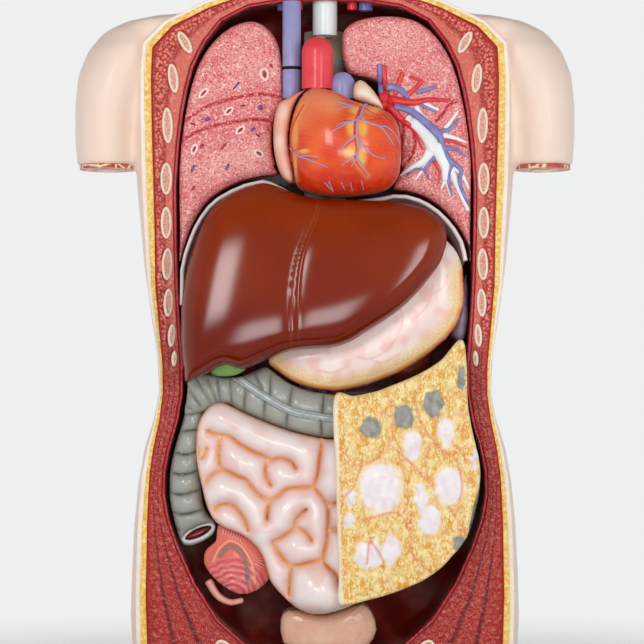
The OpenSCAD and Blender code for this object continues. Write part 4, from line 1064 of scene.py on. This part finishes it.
relief("stomach_front", stomach, lambda p, d: bag(p), -20.2, "stomach_front_unit", STOMACH,
       ("stomach_front_half",), stomach_tint, step=1.1, tuck=0.3)
relief("stomach_rear", loops_at("stomach_rear_half", -19.8)[:1],
       lambda p, d: -18.6 - 1.2 * roundover(d, 1.2) + 6 * roundover(d - 5, 14), 6, "stomach_rear_unit",
       STOMACH, ("stomach_rear_half",),
       lambda p, d, y: mix((0.90, 0.62, 0.58), (0.86, 0.45, 0.42),
                           (d > 5) * (0.5 + 0.5 * np.sin(p[:, 0] * 0.55 + 2 * noise_field(p, 18, 4)))),
       step=1.8, tuck=7)
soft_organ("spleen_organ", "spleen", -10, -6, -21.6, 36, "trunk", None, 0.6, SPLEEN, 1.2, 2)

# ---------------------------------------------------------------- intestines

OCHRE, GUT_PINK, COLON_GREY = (0.90, 0.62, 0.20), (0.93, 0.82, 0.79), (0.55, 0.56, 0.53)
GUT_FOLDS = [
    [[-94, 283.5], [-86.6, 280.4], [-76.4, 278.8], [-68.5, 273.2], [-59, 267.7], [-50.3, 263.8],
     [-43.2, 260.2], [-36.8, 261.4], [-30.5, 260.2], [-25.8, 257.4], [-23.4, 253.5]],
    [[-83.1, 279.5], [-85.1, 267.7], [-84.3, 256.6], [-81.9, 252.3]],
    [[-96, 242], [-89.8, 248.7], [-81.9, 252.3], [-70, 247.2], [-63.7, 244.8], [-59, 239.2],
     [-53.4, 232.9], [-48.7, 229.8], [-43.5, 228.2], [-36.8, 232.1], [-29.7, 237.3], [-21, 238.1],
     [-9.9, 238.8]],
    [[-9.1, 238.8], [-6, 248.7], [-4.4, 260.6], [-2, 278]],
    [[-43.2, 260.2], [-46.7, 257.4], [-47.9, 251.9], [-46.3, 244.8], [-43.2, 240]],
    [[-43.5, 228.2], [-45.5, 221.8], [-46.3, 213.1]],
    [[-9.1, 238.8], [-5.2, 233.7], [1.9, 225.4], [6.7, 225], [14, 228]],
    [[2.3, 225], [2.7, 212.4], [1.5, 196.6], [-1.6, 180.7], [2.7, 174.4], [9, 168.1], [12, 160]],
    [[-88.2, 220.3], [-83.5, 224.2], [-77.9, 225], [-73.2, 223.4], [-68.5, 218.7], [-64.5, 213.1],
     [-61.3, 204]],
    [[-14.7, 221.1], [-19.4, 217.1], [-23.4, 212.4], [-25, 206], [-30.5, 201.3], [-36.8, 197.3],
     [-41.6, 195]],
    [[-24.2, 206], [-18.6, 204.5], [-14.7, 201.3], [-10.7, 195.8]],
    [[-41.6, 195], [-38.4, 188.6], [-34.5, 182.3], [-27.3, 174.4], [-27.7, 168.1], [-28.9, 152]],
    [[-27.3, 175.2], [-19.4, 176.8], [-9.1, 179.2], [-2, 180.7]],
    [[-102, 269.3], [-99.7, 263], [-97.3, 262.6], [-94.2, 269.3]],
    # the rest lies under the omentum
    [[14, 228], [34, 236], [56, 230], [78, 240], [109, 236]], [[34, 236], [36, 256], [30, 277]],
    [[78, 240], [74, 262], [80, 291]], [[56, 230], [52, 210], [60, 190], [58, 166]],
    [[2.7, 205], [24, 202], [40, 188], [42, 158]], [[78, 240], [84, 216], [76, 178]]]
gut = [offset(curve(loops_at("small_intestine", -42)[0], 1.5, True), -2.0)]
gut_folds = [curve(f, 1.2) for f in GUT_FOLDS]
gut_swell = inflate([curve(gut[0], 1.2, True)], gut_folds, 0.8)


def gut_height(p, d):
    return -43.5 - np.maximum(1.3 * gut_swell(p), 2.9 * bell(nearest(p, gut_folds), 1.8))


def gut_tint(p, d, y):
    fold = nearest(p, gut_folds)
    # painted light and shade: paler over the crowns of the coils, pinker down towards the creases between
    # them
    c = mix(GUT_PINK, (0.95, 0.90, 0.89), np.clip(gut_swell(p) / 11, 0, 1))
    c = mix(c, (0.92, 0.70, 0.66), 0.5 * bell(fold, 5))
    c = mix(c, (0.92, 0.74, 0.71), 0.5 * np.clip(noise_field(p, 20, 31), 0, 1))
    c = mix(c, OCHRE, 1.2 * bell(fold, 0.8))
    return mix(c, (0.90, 0.62, 0.45), 0.6 * bell(d, 1.6))


relief("small_gut_coils", gut, gut_height, -2, "intestines_unit", GUT,
       ("small_intestine",), gut_tint, step=0.95, tuck=4)

# pouches of the large gut: grooves across it, and a pale band along it
BAND = [[-80, 331], [-73.6, 328], [-49.8, 312], [-27.7, 300], [-8, 295.5], [16, 293], [40, 296], [66, 305],
        [90, 320], [104, 334]]
ARCH_GROOVES = [[[-122, 313], [-107, 300]], [[-114, 324], [-99, 302]], [[-104, 327], [-91, 305]],
                [[-94, 325], [-86, 305]], [[-87, 327.5], [-83, 303]],
                [[-76, 326.5], [-74.5, 300]], [[-63, 319], [-65.5, 297]], [[-47.5, 309], [-50, 289]],
                [[-30, 300.5], [-31, 283]], [[-3, 294], [-2.5, 277]], [[22, 293], [22, 277]],
                [[44, 297], [48, 281]], [[66, 305], [74, 291]], [[86, 318], [98, 303]],
                [[-57, 331], [-50.5, 317]], [[-43.5, 331], [-44, 311]], [[-26, 321], [-28.5, 304]],
                [[-1, 314], [-2, 297]], [[24, 311], [24, 295]], [[50, 317], [44, 299]],
                [[78, 330], [70, 309]], [[100, 346], [90, 322]]]
opening = curve(loops_at("pleura", -28)[1], 2, True)
edge_line = opening[(opening[:, 0] < -60) & (opening[:, 1] > 150)]
edge_line = edge_line[np.argsort(edge_line[:, 1])]


def clear_of_wall(outline):
    """The outline, kept 4 mm inside the edge of the opening on the model's right side."""
    outline = np.array(outline, float)
    edge = np.interp(outline[:, 1], edge_line[:, 1], edge_line[:, 0])
    outline[:, 0] = np.maximum(outline[:, 0], edge + 4)
    return outline


FLEXURE = [[-79, 305], [-90, 302], [-100, 298], [-110, 296], [-119, 299], [-123, 308], [-121, 318],
           [-113, 325], [-101, 328], [-90, 328]]
arch_loop = loops_at("transverse_colon", -44)[0]
bent = np.flatnonzero(arch_loop[:, 0] < -79.5)
arch_loop = clear_of_wall(np.vstack([arch_loop[:bent[0]], FLEXURE[1:], arch_loop[bent[-1] + 1:]]))
arch_grooves = [curve(g, 1.5) for g in ARCH_GROOVES]
band = curve(BAND, 1.2)
arch_outline = [curve(arch_loop, 1.2, True)]
arch_swell = inflate(arch_outline, arch_grooves + [band], 0.8)
arch_round = inflate(arch_outline, (), 1.0)


def colon_tint(grooves, swell):
    def tint(p, d, y):
        g = nearest(p, grooves)
        # painted light and shade: paler over the pouches' crowns, darker in the grooves between them
        c = mix(COLON_GREY, (0.66, 0.67, 0.65), np.clip(swell(p) / 9, 0, 1))
        c = mix(c, (0.38, 0.37, 0.35), 0.6 * bell(g, 0.8))
        c = mix(c, (0.50, 0.50, 0.47), 0.6 * bell(d, 2.5))
        return mix(c, (0.60, 0.60, 0.52), 0.4 * np.clip(noise_field(p, 18, 41), 0, 1))
    return tint


def arch_height(p, d):
    pouch = 2.3 * np.maximum(arch_swell(p), 1.1) ** 0.5 + 0.6 * arch_round(p)
    off = distance(p, band)
    return -36 - pouch - 2.6 * np.clip((2.9 - off) / 0.8, 0, 1) * np.clip(d / 2, 0, 1)


def arch_tint(p, d, y):
    off = distance(p, band)
    c = colon_tint(arch_grooves, arch_swell)(p, d, y)
    lines = mix((0.80, 0.83, 0.83), (0.56, 0.59, 0.60), bell(off - 1.3, 0.5))
    c = mix(c, lines, np.clip((2.9 - off) / 0.7, 0, 1))
    # painted shade: a dark line along the foot of the raised band
    return mix(c, (0.36, 0.36, 0.35), 0.6 * bell(off - 3.4, 0.5))


relief("transverse_colon_pouches", [arch_loop], arch_height, -2, "intestines_unit", COLON,
       ("transverse_colon",), arch_tint, step=0.9, tuck=4)
BAND_PALE = plain("colon_band", (0.80, 0.83, 0.83), 0.3, 0.35, (0.66, 0.68, 0.68), 2.2, 0.7, 0.15)


def pouched(name, node, y, rim, top, back, grooves, loop=None, holes=()):
    """A length of large gut: pouches between grooves, from the rim at one depth up to another."""
    loops = [loop if loop is not None else loops_at(node, y)[0]] + list(holes)
    lines = [curve(g, 1.2) for g in grooves]
    outline = [curve(q, 1.2, True) for q in loops]
    swell, whole = inflate(outline, lines, 0.8), inflate(outline, (), 1.0)
    most = max(whole(outline[0] * 0.5 + outline[0].mean(0) * 0.5).max(), 1)

    def height(p, d):
        share = 0.5 * np.maximum(swell(p) / most, 0.06) ** 0.5 + 0.5 * whole(p) / most
        return rim - (rim - top) * np.clip(share, 0, 1)
    relief(name, loops, height, back, "intestines_unit", COLON, (node,),
           colon_tint(lines, swell), step=0.9, tuck=2.5)


UP_GROOVES = [[[-122, 298], [-98, 300]], [[-124, 282], [-98, 284]], [[-127, 267], [-112, 264], [-100, 267]],
              [[-130, 251], [-115, 248], [-100, 251]], [[-132, 235], [-116, 232], [-98, 236]],
              [[-131, 219], [-115, 216], [-96, 220]], [[-126, 206], [-117, 203]]]
DOWN_GROOVES = [[[110, 292], [118, 291]], [[111, 274], [122, 274]], [[111, 258], [126, 258]],
                [[110, 241], [127, 241]], [[106, 225], [126, 223]], [[103, 210], [122, 206]],
                [[97, 197], [115, 192]]]
mouth_turn = math.radians(25)
mouth = np.array([[-102 + 13 * math.cos(a) * math.cos(mouth_turn) - 5 * math.sin(a) * math.sin(mouth_turn),
                   200.5 + 13 * math.cos(a) * math.sin(mouth_turn) + 5 * math.sin(a) * math.cos(mouth_turn)]
                  for a in np.linspace(0, 2 * math.pi, 40, endpoint=False)])
UP_OUTLINE = [[-98, 194], [-109, 190], [-119, 193], [-126, 206], [-130, 220], [-131, 232], [-130, 244],
              [-127, 259], [-124, 274], [-122, 291], [-121, 305], [-116, 314], [-104, 312], [-97, 303],
              [-98, 289], [-100, 274], [-101, 261], [-100, 239], [-97, 219], [-89, 208], [-90, 200]]
pouched("ascending_colon_pouches", "ascending_colon", -26, -24, -45, -2, UP_GROOVES,
        loop=clear_of_wall(UP_OUTLINE), holes=[mouth])
lip = np.c_[mouth[:, 0], np.full(len(mouth), -29.5), mouth[:, 1]]
lip_verts, lip_faces = tube_mesh(np.vstack([lip, lip[:2]]), 1.5, 10, 1.0, False)
piece("caecum_rim", lip_verts, lip_faces, "intestines_unit", BAND_PALE, ())
CAECUM_DARK = plain("caecum_inside", (0.50, 0.05, 0.04), 0.35, 0.3, (0.38, 0.02, 0.02), 5, 0.6, 0.3)
relief("caecum_inside", [mouth * 0.98 + mouth.mean(0) * 0.02], lambda p, d: -27 + 5 * roundover(d, 5), -10,
       "intestines_unit", CAECUM_DARK, (), None, step=1.0, tuck=0.5)
pouched("descending_colon_pouches", "descending_colon", -24, -22, -41.5, -2, DOWN_GROOVES)

ILEUM_RED = (0.80, 0.27, 0.27)
ILEUM_AXIS = curve([[-82, 203], [-75, 201.5], [-68.6, 199.4], [-59.3, 196], [-52.2, 188], [-50.5, 179.4],
                    [-54.3, 172]], 1)
ILEUM_INNER = curve([[-90, 178], [-85.7, 187.3], [-80.7, 192.3], [-75.7, 194.6], [-67.9, 190.9],
                     [-61.5, 182.3], [-57.5, 172], [-56, 160]], 1)
ILEUM_GREY = curve([[-84.5, 182], [-79.5, 188.6], [-73.5, 190], [-68, 186], [-64.5, 179], [-62.5, 171],
                    [-62, 160]], 1)
ileum = loops_at("terminal_ileum", -28)[:1]
ileum_crown = crown(ileum, -27, -38, 0.6)


def ileum_height(p, d):
    off, run = along(p, ILEUM_AXIS)
    fold = np.sin(run * 2 * math.pi / 2.2) * bell(off, 4.5)
    far = np.hypot(p[:, 0] + 74, p[:, 1] - 150)
    coil = 0.5 * np.sin(far * 2 * math.pi / 5)
    within = np.clip((32 - far) / 3, 0, 1)
    return (ileum_crown(p) - 0.45 * fold - 1.6 * bell(off, 6) - coil * within
            + 1.2 * bell(distance(p, ILEUM_GREY), 1.6) - 0.6 * bell(distance(p, ILEUM_INNER), 0.9))


def ileum_tint(p, d, y):
    off, run = along(p, ILEUM_AXIS)
    c = mix((0.88, 0.40, 0.35), (0.93, 0.52, 0.46), 0.5 * bell(d, 4))
    # painted highlight: the folds' raised crests are pink, their troughs ILEUM_RED
    c = mix(c, mix(ILEUM_RED, (0.95, 0.68, 0.64), 0.5 + 0.5 * np.sin(run * 2 * math.pi / 2.2)),
            np.clip(1.2 * bell(off, 4.2), 0, 1))
    far = np.hypot(p[:, 0] + 74, p[:, 1] - 150) + 0.8 * noise_field(p, 9, 52)
    # painted highlight: the raised rings of the coil are paler than the hollows between them
    c = mix(c, mix((0.84, 0.33, 0.35), (0.91, 0.56, 0.55), 0.5 + 0.5 * np.sin(far * 2 * math.pi / 5)),
            np.clip((32 - far) / 3, 0, 1))
    c = mix(c, (0.95, 0.70, 0.55), bell(distance(p, ILEUM_INNER), 0.8))
    c = mix(c, (0.52, 0.50, 0.44), 1.2 * bell(distance(p, ILEUM_GREY), 1.3))
    return mix(c, (0.92, 0.55, 0.45), 0.6 * bell(d, 1.3))


relief("terminal_ileum_folds", ileum, ileum_height, -2, "intestines_unit", SOFT, ("terminal_ileum",),
       ileum_tint, step=0.8, tuck=3)
APPENDIX = [([[-94, 160], [-87, 149], [-77, 143.5], [-67, 145]], 3.4, 2.2)]
vessels("appendix_worm", APPENDIX, lambda p: np.full(len(p), -20.0), "intestines_unit",
        plain("appendix_pink", (0.87, 0.60, 0.55), 0.35, 0.3, (0.93, 0.72, 0.66), 5, 0.5, 0.1),
        ("appendix",), 14, 1.0)

# ---------------------------------------------------------------- omentum

OMENTUM_GOLD, OMENTUM_CREAM = (0.91, 0.68, 0.27), (0.97, 0.87, 0.62)
WHITE_BULGES = [(69, 273, 7.5, 12), (95.5, 283.5, 6, 11.5), (43.5, 239.5, 17, 20), (75.5, 232.5, 5, 11),
                (98, 241, 12, 15), (83, 214, 8.5, 12), (31, 186, 7.5, 11), (40.5, 187, 4.5, 12),
                (52.5, 190, 7, 12), (118, 263, 3, 8), (20, 232, 4, 7), (19, 214, 4, 6)]
GREY_WINDOWS = [(35.5, 286.5, 8.5, 8), (62, 296.5, 8, 9.5), (86, 306, 8, 10), (108, 326, 3.4, 10),
                (106, 196, 6, 6)]
OMENTUM_VESSELS = [
    [[52, 310], [52, 276], [29, 257], [13, 269]], [[52, 273], [71, 256], [78, 247]],
    [[62, 254], [66, 232], [62, 220]], [[81, 269], [80, 250], [86, 238]],
    [[71, 309], [77, 288], [97, 266], [111, 273]], [[97, 225], [111, 205]],
    [[68, 220], [69, 188], [83, 173]], [[68, 205], [56, 220], [30, 214]], [[35, 200], [33, 180]],
    [[35, 200], [45, 184], [46, 176]],
    [[30, 262], [22, 240], [14, 232]], [[104, 262], [108, 240], [104, 222]]]
omentum = loops_at("greater_omentum", -66)[:1]
omentum_swell = inflate([curve(omentum[0], 1.2, True)])
omentum_lines = [curve(v, 1.5) for v in OMENTUM_VESSELS]
left_border = [[7, 311], [8.4, 252], [9.6, 204], [10.8, 168], [12, 148]]
upper_border = [[7, 310], [23, 312], [40, 315.4], [53.5, 320.4], [81, 333], [99, 348.6], [108, 356.4]]


def spots(p, shapes, power=2.0):
    return sum(np.exp(-(((p[:, 0] - x) / a) ** 2 + ((p[:, 1] - z) / b) ** 2) ** power)
               for x, z, a, b in shapes)


def wobble(p, seed=61):
    return p + 1.2 * np.c_[noise_field(p, 9, seed), noise_field(p, 9, seed + 1)]


def omentum_height(p, d):
    q = wobble(p)
    body = 3.4 * roundover(d, 2.4) + 2.2 * np.clip(omentum_swell(p) / 60, 0, 1) ** 0.7
    lumps = 0.7 * noise_field(p, 9, 63) + 0.45 * noise_field(p, 4.2, 64)
    border = bell(distance(p, curve(left_border, 2)) - 0.5, 2.2)
    lumps *= np.clip(d / 4, 0, 1) * np.clip(1 - 1.4 * spots(q, WHITE_BULGES, 1.6), 0.12, 1)
    return (-65.2 - body - lumps - 3.0 * spots(q, WHITE_BULGES, 1.0)
            + 1.6 * spots(q, GREY_WINDOWS, 4) - 0.5 * bell(nearest(p, omentum_lines), 1.0) - 1.2 * border)


def omentum_tint(p, d, y):
    q = wobble(p)
    c = mix(OMENTUM_GOLD, OMENTUM_CREAM, 0.35 + 0.5 * noise_field(p, 12, 65))
    c = mix(c, (0.88, 0.58, 0.15), 0.55 * np.clip(noise_field(p, 10, 66) - 0.1, 0, 1))
    c = mix(c, (0.93, 0.60, 0.42), 0.75 * bell(nearest(p, omentum_lines), 1.1))
    white = np.clip(1.6 * spots(q, WHITE_BULGES, 2.2), 0, 1)
    pale = mix((0.95, 0.92, 0.92), (0.88, 0.81, 0.85), 0.2 + 0.3 * noise_field(p * [1.4, 0.7], 11, 67))
    c = mix(c, pale, white)
    c = mix(c, (0.90, 0.50, 0.42), 0.8 * bell(nearest(p, omentum_lines), 0.7))
    c = mix(c, mix((0.55, 0.55, 0.53), (0.66, 0.66, 0.63), 0.5 + 0.5 * noise_field(p, 7, 68)),
            np.clip(1.6 * spots(q, GREY_WINDOWS, 4), 0, 1))
    edge = distance(p, curve(left_border, 2))
    c = mix(c, (0.88, 0.48, 0.30), 0.7 * bell(edge - 4.2, 0.9))
    c = mix(c, (0.96, 0.90, 0.80), np.clip(1.6 * bell(edge, 2.6), 0, 1))
    return mix(c, (0.97, 0.86, 0.60), 0.8 * bell(distance(p, curve(upper_border, 2)), 1.3))


def omentum_layers(p, d):
    q = wobble(p)
    bare = np.clip(1.6 * spots(q, WHITE_BULGES, 2.2), 0, 1) + np.clip(1.6 * spots(q, GREY_WINDOWS, 4), 0, 1)
    lines = 1 - 0.6 * bell(nearest(p, omentum_lines), 1.0)
    return {"Fatty": np.clip(1 - bare, 0, 1) * lines * (1 - bell(distance(p, curve(left_border, 2)), 2.6))}


relief("omentum_apron", omentum, omentum_height, -63, "omentum_unit", OMENTUM_FAT, ("greater_omentum",),
       omentum_tint, omentum_layers, 0.95, 0.8)

# ---------------------------------------------------------------- trunk

SKIN_TONE, SKIN_ROSY = (0.96, 0.88, 0.82), (0.94, 0.78, 0.71)
CAVITY_RED, ILIAC = (0.38, 0.06, 0.05), (0.56, 0.50, 0.36)


def even_mesh(node, size, reshape):
    """A reshaped copy of a CAD node as an even grid: (vertices in millimetres, faces, normals, edges)."""
    held = bpy.data.objects.new("held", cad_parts[node].data.copy())
    for vertex in held.data.vertices:
        vertex.co.y += reshape(vertex.co / MM, vertex.normal) * MM
    bpy.context.scene.collection.objects.link(held)
    grid = held.modifiers.new("grid", "REMESH")
    grid.mode, grid.voxel_size = "VOXEL", size * MM
    mesh = bpy.data.meshes.new_from_object(held.evaluated_get(bpy.context.evaluated_depsgraph_get()))
    bpy.data.objects.remove(held)
    v = np.empty(len(mesh.vertices) * 3)
    mesh.vertices.foreach_get("co", v)
    n = np.empty(len(mesh.vertices) * 3)
    mesh.vertices.foreach_get("normal", n)
    e = np.empty(len(mesh.edges) * 2, int)
    mesh.edges.foreach_get("vertices", e)
    faces = [tuple(f.vertices) for f in mesh.polygons]
    return v.reshape(-1, 3) / MM, faces, n.reshape(-1, 3), e.reshape(-1, 2)


def relaxed(v, edges, share, rounds):
    """Vertices drawn towards the middle of their neighbours and back, so that nothing shrinks."""
    count = np.bincount(edges.ravel(), minlength=len(v))[:, None]
    a, b = np.r_[edges[:, 0], edges[:, 1]], np.r_[edges[:, 1], edges[:, 0]]
    for pull in [0.6, -0.61] * rounds:
        total = np.stack([np.bincount(a, v[b, k], len(v)) for k in range(3)], 1)
        v = v + share[:, None] * pull * (total / count - v)
    return v


def thicker_loin(p, normal):
    """Brings the hollow's back forward at the waist, where the wall is thinnest."""
    x, y, z = abs(p.x), p.y, p.z
    if y < 10 or normal.y > 0.3 or x > 122:
        return 0.0
    share = min(max((x - 45) / 20, 0), 1) * min(max((z - 205) / 30, 0), 1) * min(max((365 - z) / 30, 0), 1)
    return -7.0 * share


def trunk():
    """The skin: the CAD shell evened out, with the back's relief and a red hollow."""
    v, faces, normal, edges = even_mesh("trunk_shell", 4.1, thicker_loin)
    flat = v[:, [0, 2]]
    rim, outline = loops_at("pleura", -28)[1], loops_at("skin_edge", -28)[0]
    hollow = inside(flat, [offset(rim, -1.5)]) & (normal[:, 1] < 0.3) & (v[:, 1] < 76)
    cut = inside(flat, [outline]) & (v[:, 1] < -19) & (v[:, 1] > -27)
    ends = ((v[:, 2] < 504) & (np.abs(v[:, 0]) > 152)) | (v[:, 2] > 702)
    v = relaxed(v, edges, np.where(cut | hollow | ends, 0.0, 1.0), 18)
    x, y, z = np.abs(v[:, 0]), v[:, 1], v[:, 2]
    back = np.clip(normal[:, 1] * 1.6, 0, 1) * ~hollow
    spread = lambda a, b, r, s: np.exp(-((x - a) / r) ** 2 - ((z - b) / s) ** 2)
    span = lambda low, high, soft: np.clip((z - low) / soft, 0, 1) * np.clip((high - z) / soft, 0, 1)
    lift = 1.0 - 6.5 * bell(x, 7) * span(112, 640, 50) + 3.0 * bell(x - 24, 12) * span(140, 500, 60)
    blade = np.exp(-(((x - 76 + 0.25 * (z - 540)) / 32) ** 2 + ((z - 540) / 48) ** 2) ** 1.7)
    lift += 6.5 * blade + 3.5 * bell(z - 586 - 0.12 * (x - 60), 6) * np.clip((x - 46) / 10, 0, 1)
    lift += -2.5 * spread(33, 150, 9, 9) - 10 * bell(x, 6.5) * np.clip((118 - z) / 22, 0, 1)
    lift += 7 * spread(58, 80, 38, 34) - 3 * bell(z - 42, 7) * np.clip((96 - x) / 20, 0, 1)
    v = v + normal * (lift * back)[:, None]
    chest = np.clip(-normal[:, 1] * 1.4, 0, 1) * ~(hollow | cut)
    v = v + normal * (2.6 * bell(z - 628 + 0.10 * x, 5) * np.clip((x - 60) / 10, 0, 1) * chest)[:, None]
    tone = mix(SKIN_TONE, SKIN_ROSY, 0.2 + 0.12 * noise_field(flat, 90, 71))
    # painted shade: rosier, darker skin down the spine's groove and in the cleft
    tone = mix(tone, SKIN_ROSY, back * (0.8 * bell(x, 5) * np.clip((118 - z) / 22, 0, 1) + 0.35 * bell(x, 6)))
    inner = mix(CAVITY_RED, (0.52, 0.12, 0.10), 0.4 + 0.5 * noise_field(flat, 26, 72))
    inner = mix(inner, ILIAC, 0.9 * np.clip((x - 98) / 10, 0, 1) * span(172, 296, 18))
    tone = np.where(hollow[:, None], inner, tone)
    piece("trunk_body", v, faces, "trunk", SKIN, ("trunk_shell",), tone, sharp=75)


trunk()

# ---------------------------------------------------------------- parts kept as they are

dress(STEEL, "base_screws", "heart_pegs", "stomach_pegs", "omentum_pegs", "organ_pegs_right_lung",
      "organ_pegs_left_lung", "organ_peg_heart", "organ_peg_stomach", "organ_peg_liver",
      "organ_pegs_intestines")
dress(BOARD, "base_board")
dress(RUBBER, "base_feet")
dress(SOCKET, "organ_sockets")
dress(VERTEBRA, "vertebrae")
dress(CARTILAGE, "intervertebral_discs")
dress(NERVE, "spinal_cord")
dress(AIRWAY, "trachea")
dress(GULLET, "oesophagus")
dress(ARTERY, "neck_arteries", "abdominal_aorta")
dress(VEIN, "neck_veins", "lower_vena_cava")
dress(KIDNEY, "kidneys")
dress(BLADDER, "bladder")
dress(SECTION, "arm_muscle_sections", "neck_section")
dress(BONE_FACE, "humerus_sections")


# ---------------------------------------------------------------- stage, light and camera


def floor():
    """A pale floor that fades out into the backdrop's tone."""
    mesh = bpy.data.meshes.new("floor")
    n = 96
    ring = [(2.6 * math.cos(2 * math.pi * k / n), 2.6 * math.sin(2 * math.pi * k / n), -0.0002)
            for k in range(n)]
    mesh.from_pydata(ring, [], [list(range(n))])
    obj = bpy.data.objects.new("floor", mesh)
    bpy.context.scene.collection.objects.link(obj)
    m = Paint("floor_paper", (0.93, 0.93, 0.93), 0.7)
    far = m.add("VectorMath", {0: m.where}, operation="LENGTH").outputs["Value"]
    clear = m.add("BsdfTransparent")
    both = m.add("MixShader", {0: m.window(far, 0.45, 1.15)})
    m.tree.links.new(m.shader.outputs[0], both.inputs[1])
    m.tree.links.new(clear.outputs[0], both.inputs[2])
    out = next(x for x in m.tree.nodes if x.type == "OUTPUT_MATERIAL")
    m.done()
    m.tree.links.new(both.outputs[0], out.inputs["Surface"])
    mesh.materials.append(m.material)


def feathered(data, edge, boost):
    """Fades a softbox out towards its rim."""
    data.use_nodes = True
    nodes, links = data.node_tree.nodes, data.node_tree.links
    split = nodes.new("ShaderNodeSeparateXYZ")
    links.new(nodes.new("ShaderNodeNewGeometry").outputs["Parametric"], split.inputs[0])
    strength = None
    for axis in "XY":
        off = nodes.new("ShaderNodeMath")
        off.operation = "SUBTRACT"
        off.inputs[1].default_value = 0.5
        links.new(split.outputs[axis], off.inputs[0])
        size = nodes.new("ShaderNodeMath")
        size.operation = "ABSOLUTE"
        links.new(off.outputs[0], size.inputs[0])
        ramp = nodes.new("ShaderNodeMapRange")
        ramp.interpolation_type = "SMOOTHSTEP"
        for k, value in (("From Min", 0.5 - edge), ("From Max", 0.5), ("To Min", 1.0), ("To Max", 0.0)):
            ramp.inputs[k].default_value = value
        links.new(size.outputs[0], ramp.inputs["Value"])
        last, strength = strength, nodes.new("ShaderNodeMath")
        strength.operation = "MULTIPLY"
        strength.inputs[1].default_value = boost
        links.new(ramp.outputs["Result"], strength.inputs[0])
        if last:
            links.new(last.outputs[0], strength.inputs[1])
    links.new(strength.outputs[0], nodes["Emission"].inputs["Strength"])


def soft_light(name, place, aim, size, power):
    """A rectangular softbox with feathered edges, aimed at a point; the camera does not see it."""
    data = bpy.data.lights.new(name, "AREA")
    data.shape, data.size, data.size_y = "RECTANGLE", size[0], size[1]
    feathered(data, 0.3, 2.0)
    data.energy = power
    obj = bpy.data.objects.new(name, data)
    obj.location = place
    obj.rotation_euler = (Vector(aim) - Vector(place)).to_track_quat("-Z", "Y").to_euler()
    obj.visible_camera = False
    bpy.context.scene.collection.objects.link(obj)


floor()


def studio():
    """A pale backdrop, dimmer overhead and on the side the lights stand."""
    world = bpy.data.worlds.new("studio")
    world.use_nodes = True
    nodes, links = world.node_tree.nodes, world.node_tree.links
    where = nodes.new("ShaderNodeTexCoord")
    split = nodes.new("ShaderNodeSeparateXYZ")
    both = nodes.new("ShaderNodeMath")
    both.operation = "MULTIPLY"
    links.new(where.outputs["Generated"], split.inputs[0])
    for i, (axis, low, high, start, end) in enumerate((("Z", 0.25, 0.65, 1.0, 0.35),
                                                       ("Y", -0.85, -0.3, 0.6, 1.0))):
        ramp = nodes.new("ShaderNodeMapRange")
        ramp.interpolation_type = "SMOOTHSTEP"
        for k, value in (("From Min", low), ("From Max", high), ("To Min", start), ("To Max", end)):
            ramp.inputs[k].default_value = value
        links.new(split.outputs[axis], ramp.inputs["Value"])
        links.new(ramp.outputs["Result"], both.inputs[i])
    links.new(both.outputs[0], nodes["Background"].inputs["Strength"])
    nodes["Background"].inputs["Color"].default_value = (*lin((0.935, 0.94, 0.94)), 1)
    bpy.context.scene.world = world


studio()
soft_light("left_softbox", (-0.50, -1.55, 0.82), (-0.08, -0.09, 0.41), (0.42, 0.74), 6.6)
soft_light("middle_softbox", (0.05, -1.28, 0.29), (0, -0.09, 0.36), (0.56, 0.30), 2.5)
soft_light("right_softbox", (0.76, -1.52, 0.60), (0.07, -0.08, 0.41), (0.36, 0.82), 4.6)
bpy.context.scene.view_settings.view_transform = "Standard"
bpy.context.scene.view_settings.look = "None"

camera = bpy.data.objects.new("camera", bpy.data.cameras.new("camera"))
bpy.context.scene.collection.objects.link(camera)
camera.data.lens, camera.data.sensor_width = 135, 36
camera.location = (-0.0024, -1.976, 0.3704)
camera.rotation_euler = (math.radians(90), 0, 0)
camera.data.clip_start, camera.data.clip_end = 0.05, 50
bpy.context.scene.camera = camera
